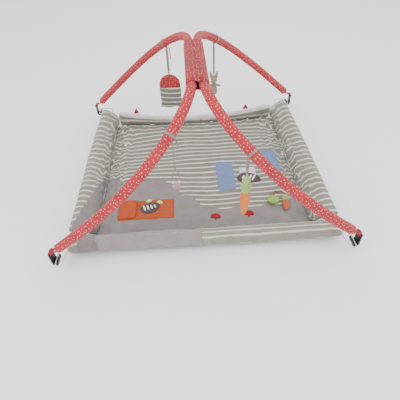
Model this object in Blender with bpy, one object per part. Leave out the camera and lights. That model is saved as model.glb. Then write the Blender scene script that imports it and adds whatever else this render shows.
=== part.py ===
"""Baby play gym: a padded mat whose four walls fold down, two bent arches in padded
sleeves that lie side by side at the top, and four toys that hang from them.

The mat lies on the floor at Z = 0, the front is towards -Y and the left is towards -X.
All lengths are in metres."""
import math

import bmesh
import bpy
from mathutils import Matrix, Vector

# Clearances between pieces that touch
GAP = 0.0003
SEAM_GAP = 0.0045
END_GAP = 0.003

# Floor of the mat
FLOOR_WIDTH = 0.700
FLOOR_FRONT = 0.315
FLOOR_REAR = 0.335
BACKING_THICKNESS = 0.003
FLOOR_EDGE = 0.007
FLOOR_CROWN = 0.014
FLOOR_DRAW_IN = 0.001
FLOOR_FLATNESS = 10

# Walls of the mat, each a padded flap sewn on along one edge
HINGE_HEIGHT = 0.006
SIDE_WALL_REAR = 0.405
SIDE_WALL_WIDTH = 0.10
SIDE_WALL_LEAN = math.radians(38)
SIDE_WALL_THICKNESS = 0.026
FRONT_WALL_WIDTH = 0.086
FRONT_WALL_LEAN = math.radians(12)
FRONT_WALL_THICKNESS = 0.034
REAR_WALL_WIDTH = 0.086
REAR_WALL_DIP = 0.022
REAR_WALL_LEAN = math.radians(86)
REAR_WALL_SLUMP = math.radians(32)
REAR_WALL_THICKNESS = 0.018
WALL_CORNER = 0.030
WALL_BUTT = 0.008
WALL_MIDDLE_SAG = math.radians(4)

# Arches
ARCH_RISE = 0.35
ARCH_END_INSET = 0.006
ARCH_END_CLEARANCE = 0.0275
HUB_STRAIGHT = 0.28
BEND_FADE = 0.8
SLEEVE_RADIUS = 0.0145
SLEEVE_MOUTH_RADIUS = 0.0100
SLEEVE_MOUTH_LENGTH = 0.016
POLE_RADIUS = 0.004
POLE_CLEARANCE = 0.001
POLE_CAP_RADIUS = 0.0065
POLE_CAP_LENGTH = 0.014
POLE_CAP_RECESS = 0.0015
HUB_CLEARANCE = 0.001
HUB_COVER_LENGTH = 0.282
HUB_COVER_THICKNESS = 0.002

# Hooks at the four sleeve ends, and the loops that they catch
HOOK_WIDTH = 0.030
HOOK_THICKNESS = 0.0035
HOOK_THROAT = 0.0065
HOOK_LIP = 0.008
HOOK_BAR = 0.004
HOOK_SLOT_HEIGHT = 0.008
HOOK_DROP = 0.015
HOOK_REACH = 0.035
HOOK_OUT = 0.0263
HOOK_SIDE_GAP = 0.0075
STRAP_WIDTH = 0.022
STRAP_THICKNESS = 0.0015
STRAP_PLAY = 0.001
LOOP_RADIUS = 0.002
LOOP_ROOT_SPACING = 0.012
LOOP_END_ROOM = 0.010
LOOP_ROOT_DEPTH = 0.012
LOOP_ROOT_OUT = 0.046

# Ties and ribbons that carry the toys
TIE_WIDTH = 0.007
TIE_THICKNESS = 0.0012
TIE_CLEARANCE = 0.0007
KNOT_RADIUS = 0.0042
RIBBON_WIDTH = 0.010
RIBBON_THICKNESS = 0.0012
TAIL_SIDE = 0.0105
TAIL_RADIUS = 0.0025

# Places of the ties, as shares of the bent leg's length from the hub
POUCH_TIE = 0.375
RABBIT_TIE = 0.34
BEADS_TIE = 0.31
CARROT_TIE = 0.41

# Ribbon lengths between knot and toy
POUCH_RIBBON = 0.092
RABBIT_RIBBON = 0.117
BEADS_THREAD = 0.084
CARROT_RIBBON = 0.048
THREAD_WIDTH = 0.0025

# Toys
POUCH_WIDTH = 0.092
POUCH_HEIGHT = 0.152
POUCH_THICKNESS = 0.026
POUCH_DOME = 0.056
POUCH_LOOP_DROP = 0.006
RABBIT_HEIGHT = 0.105
CARROT_LEAF_HEIGHT = 0.066
CARROT_LEAF_WIDTH = 0.033
CARROT_ROOT_LENGTH = 0.092
CARROT_ROOT_RADIUS = 0.0152
BEAD_LOOP_HEIGHT = 0.058
BEAD_LOOP_WIDTH = 0.022
BEAD_CORD_RADIUS = 0.0014
BEAD_RADIUS = 0.0045
PENDANT_RADIUS = 0.0125

# Sewn pieces on the floor
PATCH_THICKNESS = 0.0018
PATCH_EMBED = 0.003
FLAP_THICKNESS = 0.008

LEG_STEPS = 15
SLEEVE_SIDES = 12
POLE_SIDES = 8
INTEGRATION_STEPS = 160


def start_scene():
    for item in list(bpy.data.objects):
        bpy.data.objects.remove(item, do_unlink=True)
    parts = bpy.data.collections.new("baby_play_gym")
    bpy.context.scene.collection.children.link(parts)
    return parts


def finish(name, mesh, material):
    mesh.name = name
    made = bpy.data.objects.new(name, mesh)
    mesh.materials.clear()
    mesh.materials.append(material)
    PARTS.objects.link(made)
    mesh.shade_smooth()
    mesh.set_sharp_from_angle(angle=math.radians(40))
    return made


def material(name, colour, roughness, metallic=0.0):
    made = bpy.data.materials.new(name)
    made.use_nodes = True
    shader = made.node_tree.nodes["Principled BSDF"]
    shader.inputs["Base Color"].default_value = (*colour, 1.0)
    shader.inputs["Roughness"].default_value = roughness
    shader.inputs["Metallic"].default_value = metallic
    return made


# Mesh helpers


def mesh_from(work):
    bmesh.ops.recalc_face_normals(work, faces=work.faces)
    mesh = bpy.data.meshes.new("work")
    work.to_mesh(mesh)
    work.free()
    return mesh


def skin(rings):
    """Closed surface through rings of points, each end closed round a middle point."""
    work = bmesh.new()
    loops = [[work.verts.new(p) for p in ring] for ring in rings]
    count = len(rings[0])
    for low, high in zip(loops, loops[1:]):
        for i in range(count):
            j = (i + 1) % count
            work.faces.new((low[i], low[j], high[j], high[i]))
    for ring, points in ((loops[0], rings[0]), (loops[-1], rings[-1])):
        middle = work.verts.new(sum((Vector(p) for p in points), Vector()) / count)
        for i in range(count):
            work.faces.new((ring[i], ring[(i + 1) % count], middle))
    return mesh_from(work)


def closed_ring(sections):
    """Closed surface through sections that come back to the first one."""
    work = bmesh.new()
    loops = [[work.verts.new(p) for p in section] for section in sections]
    count = len(sections[0])
    for k, low in enumerate(loops):
        high = loops[(k + 1) % len(loops)]
        for i in range(count):
            j = (i + 1) % count
            work.faces.new((low[i], low[j], high[j], high[i]))
    return mesh_from(work)


def evaluated_mesh(item):
    graph = bpy.context.evaluated_depsgraph_get()
    graph.update()
    return bpy.data.meshes.new_from_object(item.evaluated_get(graph))


def tube(points, radii, sides, cyclic=False):
    """Round tube along straight runs between points, with filled ends."""
    curve = bpy.data.curves.new("work", "CURVE")
    curve.dimensions = "3D"
    curve.bevel_depth = 1.0
    curve.bevel_resolution = (sides - 4) // 2
    curve.use_fill_caps = not cyclic
    spline = curve.splines.new("POLY")
    spline.points.add(len(points) - 1)
    spline.use_cyclic_u = cyclic
    for target, place, radius in zip(spline.points, points, radii):
        target.co = (*place, 1.0)
        target.radius = radius
    return curve_mesh(curve)


def curve_mesh(curve):
    holder = bpy.data.objects.new("work", curve)
    bpy.context.scene.collection.objects.link(holder)
    mesh = evaluated_mesh(holder)
    bpy.data.objects.remove(holder, do_unlink=True)
    bpy.data.curves.remove(curve)
    work = bmesh.new()
    work.from_mesh(mesh)
    bpy.data.meshes.remove(mesh)
    bmesh.ops.remove_doubles(work, verts=work.verts, dist=0.00001)
    return mesh_from(work)


def extruded(outlines, thickness, matrix):
    """Flat plate from closed outlines, the first round the others, centred on its plane."""
    curve = bpy.data.curves.new("work", "CURVE")
    curve.dimensions = "2D"
    curve.fill_mode = "BOTH"
    curve.extrude = thickness / 2
    for outline in outlines:
        spline = curve.splines.new("POLY")
        spline.points.add(len(outline) - 1)
        spline.use_cyclic_u = True
        for target, (x, y) in zip(spline.points, outline):
            target.co = (x, y, 0.0, 1.0)
    mesh = curve_mesh(curve)
    mesh.transform(matrix)
    return outward(mesh)


def outward(mesh):
    work = bmesh.new()
    work.from_mesh(mesh)
    bmesh.ops.recalc_face_normals(work, faces=work.faces)
    work.to_mesh(mesh)
    work.free()
    return mesh


def box(low, high):
    work = bmesh.new()
    bmesh.ops.create_cube(work, size=1.0)
    middle = (Vector(low) + Vector(high)) / 2
    size = Vector(high) - Vector(low)
    for vert in work.verts:
        vert.co = Vector(a * b for a, b in zip(vert.co, size)) + middle
    return mesh_from(work)


def ball(middle, radii, segments=12, rings=8):
    work = bmesh.new()
    bmesh.ops.create_uvsphere(work, u_segments=segments, v_segments=rings, radius=1.0)
    for vert in work.verts:
        vert.co = Vector(a * b for a, b in zip(vert.co, radii)) + Vector(middle)
    return mesh_from(work)


def grown(mesh, distance):
    """Copy of a mesh whose surface stands further out by a distance."""
    work = bmesh.new()
    work.from_mesh(mesh)
    work.normal_update()
    moves = [vert.normal * distance for vert in work.verts]
    for vert, move in zip(work.verts, moves):
        vert.co += move
    copy = bpy.data.meshes.new("work")
    work.to_mesh(copy)
    work.free()
    return copy


def combined(mesh, other, operation):
    """Result of a Boolean on two meshes; both are used up."""
    target = bpy.data.objects.new("work", mesh)
    tool = bpy.data.objects.new("tool", other)
    for item in (target, tool):
        bpy.context.scene.collection.objects.link(item)
    change = target.modifiers.new("change", "BOOLEAN")
    change.operation = operation
    change.solver = "EXACT"
    change.object = tool
    result = evaluated_mesh(target)
    for item in (target, tool):
        bpy.data.objects.remove(item, do_unlink=True)
    bpy.data.meshes.remove(mesh)
    bpy.data.meshes.remove(other)
    work = bmesh.new()
    work.from_mesh(result)
    bmesh.ops.remove_doubles(work, verts=work.verts, dist=0.000005)
    bmesh.ops.dissolve_degenerate(work, edges=work.edges, dist=0.000005)
    bpy.data.meshes.remove(result)
    return mesh_from(work)


def cut_clear(mesh, larger, gap=GAP):
    """Mesh with a larger piece, and a gap round it, taken out."""
    return combined(mesh, grown(larger.data, gap), "DIFFERENCE")


def oval(middle, side, depth, half_width, half_depth, count):
    """Ring of points in the plane of two directions."""
    points = []
    for i in range(count):
        turn = 2 * math.pi * i / count
        points.append(middle + side * (half_width * math.cos(turn)) + depth * (half_depth * math.sin(turn)))
    return points


def stuffed(start, end, profile, depth=Vector((0, 1, 0)), count=10):
    """Stuffed form along a line; profile lists (share of the line, half width, half depth)."""
    line = end - start
    side = depth.cross(line).normalized()
    rings = [oval(start + line * share, side, depth, wide, deep, count) for share, wide, deep in profile]
    return skin(rings)


# Arch geometry


def leg_sums(end_angle, share):
    """Run and reach of a leg of unit length, up to a share of it, by small steps.

    The pole leaves the hub straight, and its bend fades towards its end."""
    run = 0.0
    reach = 0.0
    steps = max(1, round(INTEGRATION_STEPS * share))
    for k in range(steps):
        here = share * (k + 0.5) / steps
        angle = end_angle * (1 - (1 - here) ** (BEND_FADE + 1))
        run += math.cos(angle) * share / steps
        reach += math.sin(angle) * share / steps
    return run, reach


def solve_leg(run, reach):
    """End angle and length of the leg that covers a run and a reach."""
    low = 0.3
    high = 2.8
    for _ in range(40):
        middle = (low + high) / 2
        part_run, part_reach = leg_sums(middle, 1.0)
        if part_reach * run < reach * part_run:
            low = middle
        else:
            high = middle
    angle = (low + high) / 2
    return angle, reach / leg_sums(angle, 1.0)[1]


HUB_OFFSET = SLEEVE_RADIUS + HUB_CLEARANCE
SIDE_HINGE = FLOOR_WIDTH / 2 + SEAM_GAP
FRONT_HINGE = FLOOR_FRONT + SEAM_GAP
REAR_HINGE = FLOOR_REAR + SEAM_GAP + REAR_WALL_THICKNESS
FRONT_WALL_END = SIDE_HINGE + SIDE_WALL_WIDTH * math.cos(SIDE_WALL_LEAN)
ARCH_END_X = FRONT_WALL_END - ARCH_END_INSET
ARCH_END_Y = SIDE_WALL_REAR + HOOK_SIDE_GAP + HOOK_WIDTH / 2
ARCH_END_HEIGHT = HINGE_HEIGHT + SIDE_WALL_WIDTH * math.sin(SIDE_WALL_LEAN) + ARCH_END_CLEARANCE
HUB_HEIGHT = ARCH_END_HEIGHT + ARCH_RISE
LEG_REACH = math.hypot(ARCH_END_X - HUB_OFFSET, ARCH_RISE)
LEG_RUN = ARCH_END_Y - HUB_STRAIGHT / 2
LEG_ANGLE, LEG_LENGTH = solve_leg(LEG_RUN, LEG_REACH)


def arch_slope(side):
    return Vector((side * (ARCH_END_X - HUB_OFFSET), 0, -ARCH_RISE)).normalized()


def leg_point(side, end, share):
    """Point of the arch's centre line; end is -1 at the front and 1 at the rear."""
    run, reach = leg_sums(LEG_ANGLE, share) if share > 0 else (0.0, 0.0)
    top = Vector((side * HUB_OFFSET, end * (HUB_STRAIGHT / 2 + run * LEG_LENGTH), HUB_HEIGHT))
    return top + arch_slope(side) * (reach * LEG_LENGTH)


def leg_direction(side, end, share):
    angle = LEG_ANGLE * (1 - (1 - share) ** (BEND_FADE + 1))
    return Vector((0, end * math.cos(angle), 0)) + arch_slope(side) * math.sin(angle)


def arch_line(side, trim=0.0):
    """Points from the front end to the rear end, each leg shortened by a trim."""
    last = 1 - trim / LEG_LENGTH
    shares = [last * k / LEG_STEPS for k in range(LEG_STEPS + 1)]
    front = [leg_point(side, -1, share) for share in reversed(shares)]
    rear = [leg_point(side, 1, share) for share in shares]
    return front + rear


def side_name(side):
    return "left" if side < 0 else "right"


def end_name(end):
    return "front" if end < 0 else "rear"


def make_sleeve(side):
    """Padded sleeve with a bore for the pole and a wider mouth for the pole's cap."""
    body = arch_line(side, SLEEVE_MOUTH_LENGTH)
    shoulder = SLEEVE_MOUTH_LENGTH * 0.35 / LEG_LENGTH
    line = [leg_point(side, -1, 1), leg_point(side, -1, 1 - shoulder)] + body
    line += [leg_point(side, 1, 1 - shoulder), leg_point(side, 1, 1)]
    shoulder_radius = SLEEVE_MOUTH_RADIUS + (SLEEVE_RADIUS - SLEEVE_MOUTH_RADIUS) * 0.7
    radii = [SLEEVE_MOUTH_RADIUS, shoulder_radius] + [SLEEVE_RADIUS] * len(body)
    radii += [shoulder_radius, SLEEVE_MOUTH_RADIUS]
    mesh = tube(line, radii, SLEEVE_SIDES)
    for end in (-1, 1):
        tip = leg_point(side, end, 1)
        along = leg_direction(side, end, 1)
        depth = POLE_CAP_LENGTH + POLE_CAP_RECESS + GAP
        mouth = tube([tip - along * depth, tip + along * depth], [POLE_CAP_RADIUS + POLE_CLEARANCE] * 2, POLE_SIDES)
        mesh = combined(mesh, mouth, "DIFFERENCE")
    bore_radius = POLE_RADIUS + POLE_CLEARANCE
    bore_end = 1 - (POLE_CAP_RECESS + POLE_CAP_LENGTH / 2) / LEG_LENGTH
    bore_line = [leg_point(side, -1, bore_end)] + body + [leg_point(side, 1, bore_end)]
    mesh = combined(mesh, tube(bore_line, [bore_radius] * len(bore_line), POLE_SIDES), "DIFFERENCE")
    return finish(f"sleeve_{side_name(side)}", mesh, RED_FABRIC)


def make_pole(side):
    """Springy pole with a thicker cap moulded on each end."""
    trim = POLE_CAP_RECESS + POLE_CAP_LENGTH / 2
    line = arch_line(side, SLEEVE_MOUTH_LENGTH)
    share = 1 - trim / LEG_LENGTH
    line = [leg_point(side, -1, share)] + line + [leg_point(side, 1, share)]
    mesh = tube(line, [POLE_RADIUS] * len(line), POLE_SIDES)
    for end in (-1, 1):
        tip = leg_point(side, end, 1)
        along = leg_direction(side, end, 1)
        outer = tip - along * POLE_CAP_RECESS
        inner = outer - along * POLE_CAP_LENGTH
        mesh = combined(mesh, tube([inner, outer], [POLE_CAP_RADIUS] * 2, POLE_SIDES), "UNION")
    return finish(f"pole_{side_name(side)}", mesh, POLE_PLASTIC)


UPRIGHT = Matrix.Rotation(math.radians(90), 4, "X")


def arc(middle, radius, start, stop, steps):
    """Points on an arc, angles in degrees, in the plane of an outline."""
    points = []
    for k in range(steps + 1):
        turn = math.radians(start + (stop - start) * k / steps)
        points.append((middle[0] + radius * math.cos(turn), middle[1] + radius * math.sin(turn)))
    return points


def make_hub_cover():
    """Flat fabric band round both sleeves along their straight length."""
    inner_radius = SLEEVE_RADIUS + HUB_CLEARANCE / 2
    outlines = []
    for radius in (inner_radius + HUB_COVER_THICKNESS, inner_radius):
        right = arc((HUB_OFFSET, HUB_HEIGHT), radius, -90, 90, 10)
        left = arc((-HUB_OFFSET, HUB_HEIGHT), radius, 90, 270, 10)
        outlines.append(right + left)
    return finish("hub_cover", extruded(outlines, HUB_COVER_LENGTH, UPRIGHT), RED_FABRIC)


# Hooks, straps and corner loops, drawn at the rear right corner and mirrored to the others

PIVOT_X = ARCH_END_X + HOOK_OUT
PIVOT_HEIGHT = ARCH_END_HEIGHT - HOOK_DROP
THROAT_X = PIVOT_X - HOOK_THICKNESS / 2 - HOOK_THROAT
THROAT_HEIGHT = PIVOT_HEIGHT - HOOK_REACH


def to_corner(mesh, side, end):
    mesh.transform(Matrix.Diagonal((side, end, 1, 1)))
    return outward(mesh)


def hook_mesh():
    inner = HOOK_THROAT
    outer = HOOK_THROAT + HOOK_THICKNESS
    middle = (THROAT_X, THROAT_HEIGHT)
    top = PIVOT_HEIGHT + HOOK_BAR / 2
    outline = [(THROAT_X + inner, top), (THROAT_X + outer, top)]
    outline += [(x, y) for x, y in arc(middle, outer, 0, -180, 10)]
    outline += [(THROAT_X - outer, THROAT_HEIGHT + HOOK_LIP), (THROAT_X - inner, THROAT_HEIGHT + HOOK_LIP)]
    outline += [(x, y) for x, y in arc(middle, inner, -180, 0, 8)]
    mesh = extruded([outline], HOOK_WIDTH, UPRIGHT)
    mesh.transform(Matrix.Translation((0, ARCH_END_Y, 0)))
    slot_half = STRAP_WIDTH / 2 + STRAP_PLAY
    slot_top = PIVOT_HEIGHT - HOOK_BAR / 2
    slot = box(
        (PIVOT_X - HOOK_THICKNESS, ARCH_END_Y - slot_half, slot_top - HOOK_SLOT_HEIGHT),
        (PIVOT_X + HOOK_THICKNESS, ARCH_END_Y + slot_half, slot_top),
    )
    return combined(mesh, slot, "DIFFERENCE")


def strap_mesh():
    """Fabric strap: a closed loop round the hook's bar and a root on the sleeve's mouth."""
    hole = math.hypot(HOOK_BAR, HOOK_THICKNESS) / 2 + STRAP_PLAY
    outer = hole + STRAP_THICKNESS
    tip = leg_point(1, 1, 1)
    along = leg_direction(1, 1, 1)
    slope = math.atan2(along.z, along.x)
    across = Vector((-math.sin(slope), math.cos(slope)))
    root = Vector((tip.x, tip.z)) + Vector((math.cos(slope), math.sin(slope))) * (GAP * 2)
    pivot = Vector((PIVOT_X, PIVOT_HEIGHT))
    back = math.degrees(math.atan2(root.y - pivot.y, root.x - pivot.x))
    outline = arc(pivot, outer, back - 150, back + 150, 14)
    outline += [tuple(root + across * -STRAP_THICKNESS * 1.5), tuple(root + across * STRAP_THICKNESS * 1.5)]
    start = arc(pivot, outer, back + 30, back + 330, 14)
    outline = start + outline[-2:]
    inner = arc(pivot, hole, 0, 330, 11)
    mesh = extruded([outline, inner], STRAP_WIDTH, UPRIGHT)
    mesh.transform(Matrix.Translation((0, ARCH_END_Y, 0)))
    return mesh


def loop_turn(far, near_x, depth):
    """Bend of a corner loop round the end of the hook, from the throat to a line nearer the middle."""
    plan = [
        (THROAT_X, far - depth),
        (THROAT_X - depth * 0.3, far - depth * 0.3),
        (THROAT_X - depth, far),
        (near_x + depth, far),
        (near_x + depth * 0.3, far - depth * 0.3),
        (near_x, far - depth),
    ]
    return [(x, y, THROAT_HEIGHT) for x, y in plan]


def rear_loop_line(far):
    """Both ends of the loop come out of the side wall's rear end."""
    rise = (THROAT_HEIGHT - HINGE_HEIGHT) / math.tan(SIDE_WALL_LEAN)
    root_x = SIDE_HINGE + rise - 0.25 * SIDE_WALL_THICKNESS / math.sin(SIDE_WALL_LEAN)
    outer_x = root_x + LOOP_ROOT_SPACING / 2
    inner_x = root_x - LOOP_ROOT_SPACING / 2
    inside = SIDE_WALL_REAR - LOOP_ROOT_DEPTH
    passing = SIDE_WALL_REAR + HOOK_SIDE_GAP / 2
    bend = LOOP_RADIUS * 2
    plan = [(outer_x, inside), (outer_x, passing - bend), (outer_x + bend, passing)]
    plan += [(THROAT_X - bend, passing), (THROAT_X, passing + bend)]
    line = [(x, y, THROAT_HEIGHT) for x, y in plan]
    return line + loop_turn(far, inner_x, (far - SIDE_WALL_REAR) * 0.28) + [(inner_x, inside, THROAT_HEIGHT)]


def front_loop_line(far):
    """One end of the loop comes out of the front wall's end and the other out of its outer face."""
    root_y = FRONT_HINGE + LOOP_ROOT_OUT * math.cos(FRONT_WALL_LEAN)
    root_z = HINGE_HEIGHT + LOOP_ROOT_OUT * math.sin(FRONT_WALL_LEAN) + FRONT_WALL_THICKNESS / 4
    bend = LOOP_RADIUS * 2
    inner_x = FRONT_WALL_END - LOOP_ROOT_SPACING / 2
    line = [(FRONT_WALL_END - LOOP_ROOT_DEPTH, root_y, root_z), (THROAT_X - bend, root_y, root_z)]
    line.append((THROAT_X, root_y + bend, root_z))
    line.append((THROAT_X, ARCH_END_Y - HOOK_WIDTH / 2 - bend, THROAT_HEIGHT))
    line += loop_turn(far, inner_x, LOOP_ROOT_SPACING * 0.6)
    return line + [(inner_x, root_y + LOOP_ROOT_DEPTH / 2, root_z)]


def loop_mesh(end):
    """Bow of round tape that runs out of a wall and through the hook."""
    far = ARCH_END_Y + HOOK_WIDTH / 2 + LOOP_END_ROOM
    points = front_loop_line(far) if end < 0 else rear_loop_line(far)
    line = [Vector(point) for point in points]
    return tube(line, [LOOP_RADIUS] * len(line), 8)


def make_corner(side, end, wall):
    label = f"{end_name(end)}_{side_name(side)}"
    finish(f"strap_{label}", to_corner(strap_mesh(), side, end), RED_FABRIC)
    finish(f"hook_{label}", to_corner(hook_mesh(), side, end), BLACK_PLASTIC)
    loop = cut_clear(to_corner(loop_mesh(end), side, end), wall)
    finish(f"loop_{label}", loop, PALE_COTTON)


# Mat


def floor_top(x, y):
    """Height of the padded floor's top, full in the middle and low along the seams."""
    half = FLOOR_WIDTH / 2
    middle = (FLOOR_REAR - FLOOR_FRONT) / 2
    reach = (FLOOR_REAR + FLOOR_FRONT) / 2
    across = min(1.0, abs(x) / half)
    along = min(1.0, abs(y - middle) / reach)
    fullness = (1 - across**FLOOR_FLATNESS) * (1 - along**FLOOR_FLATNESS)
    return BACKING_THICKNESS + GAP + FLOOR_EDGE + FLOOR_CROWN * fullness


def make_backing():
    half = SIDE_HINGE
    front = FRONT_HINGE
    corner = 0.02
    outline = []
    for x, y, start in (
        (half - corner, REAR_HINGE - corner, 0),
        (corner - half, REAR_HINGE - corner, 90),
        (corner - half, corner - front, 180),
        (half - corner, corner - front, 270),
    ):
        outline += arc((x, y), corner, start, start + 90, 4)
    place = Matrix.Translation((0, 0, BACKING_THICKNESS / 2))
    return finish("mat_backing", extruded([outline], BACKING_THICKNESS, place), PALE_COTTON)


def spread(count):
    """Shares from -1 to 1, closer together near the ends."""
    return [math.sin(math.pi / 2 * (2 * k / (count - 1) - 1)) for k in range(count)]


def make_floor_pad():
    half = FLOOR_WIDTH / 2
    middle = (FLOOR_REAR - FLOOR_FRONT) / 2
    reach = (FLOOR_REAR + FLOOR_FRONT) / 2
    base = BACKING_THICKNESS + GAP
    rings = []
    for along in spread(13):
        y = middle + reach * along
        width = half - FLOOR_DRAW_IN * (1 - along**4)
        top = []
        bottom = []
        for across in spread(13):
            depth = FLOOR_DRAW_IN * (1 - across**4)
            shift = -along * depth if abs(along) > 0.999 else 0.0
            x = width * across
            top.append(Vector((x, y + shift, floor_top(half * across, y))))
            bottom.append(Vector((x, y + shift, base)))
        rings.append(top + bottom[::-1])
    return finish("floor_pad", skin(rings), GREY_JERSEY)


def wall_profile(width, thickness):
    """Closed outline of a wall lying flat: along from the seam, then up."""
    shares = (0.02, 0.16, 0.40, 0.68, 0.86, 0.96)
    under = []
    over = []
    for share in shares:
        swell = 1 - 0.72 * (1 - min(1.0, share / 0.45)) ** 2
        rim = max(0.0, (share - 0.80) / 0.20)
        fullness = math.sqrt(1 - rim * rim)
        under.append((width * share, thickness * 0.5 * (1 - fullness)))
        over.append((width * share, thickness * swell * 0.5 * (1 + fullness)))
    return under + [(width, thickness * 0.5)] + over[::-1]


def make_wall(name, start, end, outward_way, width, thickness, lean, material_used, first_corner=WALL_CORNER):
    """Padded flap sewn along the line from start to end; width and lean follow the place along it.

    Its corners are round, the first one as tight as the wall beside it asks for."""
    line = end - start
    length = line.length
    along = line.normalized()
    places = [0.0, 0.12, 0.45, 1.0]
    near = [first_corner * p for p in places]
    inner = [first_corner + (length - first_corner - WALL_CORNER) * k / 9 for k in range(1, 9)]
    stations = near + inner + [length - WALL_CORNER * p for p in reversed(places)]
    rings = []
    for station in stations:
        share = station / length
        radius = first_corner if share < 0.5 else WALL_CORNER
        edge = min(station, length - station)
        corner = max(0.0, 1 - edge / radius)
        shape = math.sqrt(1 - corner * corner * 0.96)
        full_width = width(share)
        here_width = full_width - radius * (1 - shape)
        here_thickness = thickness * (0.35 + 0.65 * shape)
        turn = lean(share)
        ring = []
        for out, up in wall_profile(here_width, here_thickness):
            away = out * math.cos(turn) - up * math.sin(turn)
            height = out * math.sin(turn) + up * math.cos(turn)
            ring.append(start + along * station + outward_way * away + Vector((0, 0, height)))
        rings.append(ring)
    return finish(name, skin(rings), material_used)


def middle_share(share):
    """1 in the middle of an edge and 0 at both of its ends."""
    return 1 - (2 * share - 1) ** 2


def make_walls():
    """The side walls end at the front wall, which runs on to the mat's outer corners."""
    walls = {}
    for side in (-1, 1):
        walls[side] = make_wall(
            f"wall_{side_name(side)}",
            Vector((side * SIDE_HINGE, END_GAP - FLOOR_FRONT, HINGE_HEIGHT)),
            Vector((side * SIDE_HINGE, SIDE_WALL_REAR, HINGE_HEIGHT)),
            Vector((side, 0, 0)),
            lambda share: SIDE_WALL_WIDTH,
            SIDE_WALL_THICKNESS,
            lambda share: SIDE_WALL_LEAN - WALL_MIDDLE_SAG * middle_share(share),
            STRIPED_JERSEY,
            WALL_BUTT,
        )
    walls["front"] = make_wall(
        "wall_front",
        Vector((-FRONT_WALL_END, -FRONT_HINGE, HINGE_HEIGHT)),
        Vector((FRONT_WALL_END, -FRONT_HINGE, HINGE_HEIGHT)),
        Vector((0, -1, 0)),
        lambda share: FRONT_WALL_WIDTH,
        FRONT_WALL_THICKNESS,
        lambda share: FRONT_WALL_LEAN - WALL_MIDDLE_SAG * middle_share(share),
        GREY_JERSEY,
    )
    reach = FLOOR_WIDTH / 2 - END_GAP
    walls["rear"] = make_wall(
        "wall_rear",
        Vector((-reach, REAR_HINGE, HINGE_HEIGHT)),
        Vector((reach, REAR_HINGE, HINGE_HEIGHT)),
        Vector((0, 1, 0)),
        lambda share: REAR_WALL_WIDTH - REAR_WALL_DIP * middle_share(share),
        REAR_WALL_THICKNESS,
        lambda share: REAR_WALL_LEAN + REAR_WALL_SLUMP * middle_share(share),
        STRIPED_JERSEY,
    )
    return walls


# Sewn pieces on the floor


def draped(outline, middle, thickness=PATCH_THICKNESS):
    """Flat piece over the padded floor, sunk into it so that the floor can be cut out of it."""
    work = bmesh.new()
    count = len(outline)
    top = [work.verts.new((x, y, floor_top(x, y) + thickness)) for x, y in outline]
    low = [work.verts.new((x, y, floor_top(x, y) - PATCH_EMBED)) for x, y in outline]
    crown = work.verts.new((*middle, floor_top(*middle) + thickness))
    base = work.verts.new((*middle, floor_top(*middle) - PATCH_EMBED))
    for i in range(count):
        j = (i + 1) % count
        work.faces.new((top[i], top[j], crown))
        work.faces.new((low[j], low[i], base))
        work.faces.new((low[i], low[j], top[j], top[i]))
    return mesh_from(work)


def rectangle(low, high, steps=3):
    """Outline of a rectangle with points along its sides."""
    points = []
    corners = [low, (high[0], low[1]), high, (low[0], high[1])]
    for start, stop in zip(corners, corners[1:] + corners[:1]):
        for k in range(steps):
            share = k / steps
            points.append((start[0] + (stop[0] - start[0]) * share, start[1] + (stop[1] - start[1]) * share))
    return points


def rect_patch(low, high, floor, thickness=PATCH_THICKNESS):
    middle = ((low[0] + high[0]) / 2, (low[1] + high[1]) / 2)
    return cut_clear(draped(rectangle(low, high), middle, thickness), floor)


def round_patch(middle, radii, floor, turn=0.0, count=14, thickness=PATCH_THICKNESS):
    outline = []
    for k in range(count):
        angle = 2 * math.pi * k / count
        x = radii[0] * math.cos(angle)
        y = radii[1] * math.sin(angle)
        outline.append(
            (
                middle[0] + x * math.cos(turn) - y * math.sin(turn),
                middle[1] + x * math.sin(turn) + y * math.cos(turn),
            )
        )
    return cut_clear(draped(outline, middle, thickness), floor)


def toadstool_patch(middle, size, floor):
    """Cap with a scalloped lower edge and a short stalk."""
    outline = arc(middle, size, 0, 180, 8)
    outline += [
        (middle[0] - size * 0.62, middle[1] - size * 0.28),
        (middle[0] - size * 0.22, middle[1] - size * 0.12),
        (middle[0] - size * 0.16, middle[1] - size * 0.62),
        (middle[0] + size * 0.16, middle[1] - size * 0.62),
        (middle[0] + size * 0.22, middle[1] - size * 0.12),
        (middle[0] + size * 0.62, middle[1] - size * 0.28),
    ]
    return cut_clear(draped(outline, (middle[0], middle[1] + size * 0.2)), floor)


def from_left(across, along):
    """Point of the floor, measured from its left and front seams."""
    return (across - FLOOR_WIDTH / 2, along - FLOOR_FRONT)


def from_right(across, along):
    """Point of the floor, measured from its right and front seams."""
    return (FLOOR_WIDTH / 2 - across, along - FLOOR_FRONT)


# Places and sizes of the sewn pieces
ORANGE_PATCH = (from_left(0.060, 0.048), from_left(0.252, 0.138))
BLUE_PATCHES = (
    (from_right(0.286, 0.166), from_right(0.222, 0.330)),
    (from_right(0.112, 0.262), from_right(0.038, 0.392)),
)
LEFT_MOTIF = (from_left(0.168, 0.098), (0.036, 0.028), 0.3)
RIGHT_MOTIF = (from_right(0.170, 0.226), (0.046, 0.034), -0.2)
TOADSTOOLS = (from_right(0.309, 0.041), from_right(0.197, 0.045))
TOADSTOOL_SIZE = 0.0175
APPLE_PLACE = from_right(0.105, 0.094)
APPLE_RADIUS = 0.021
APPLE_THICKNESS = 0.022
SMALL_CARROT_TOP = from_right(0.058, 0.118)
SMALL_CARROT_LENGTH = 0.072
SMALL_CARROT_RADIUS = 0.0125
REST_GAP = 0.0006
RIBBON_ANCHOR = from_right(0.082, 0.140)
FLAP_HINGE_X = from_left(0.060, 0.0)[0]
FLAP_REACH = 0.064
FLAP_SPAN = (from_left(0.0, 0.052)[1], from_left(0.0, 0.142)[1])


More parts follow.
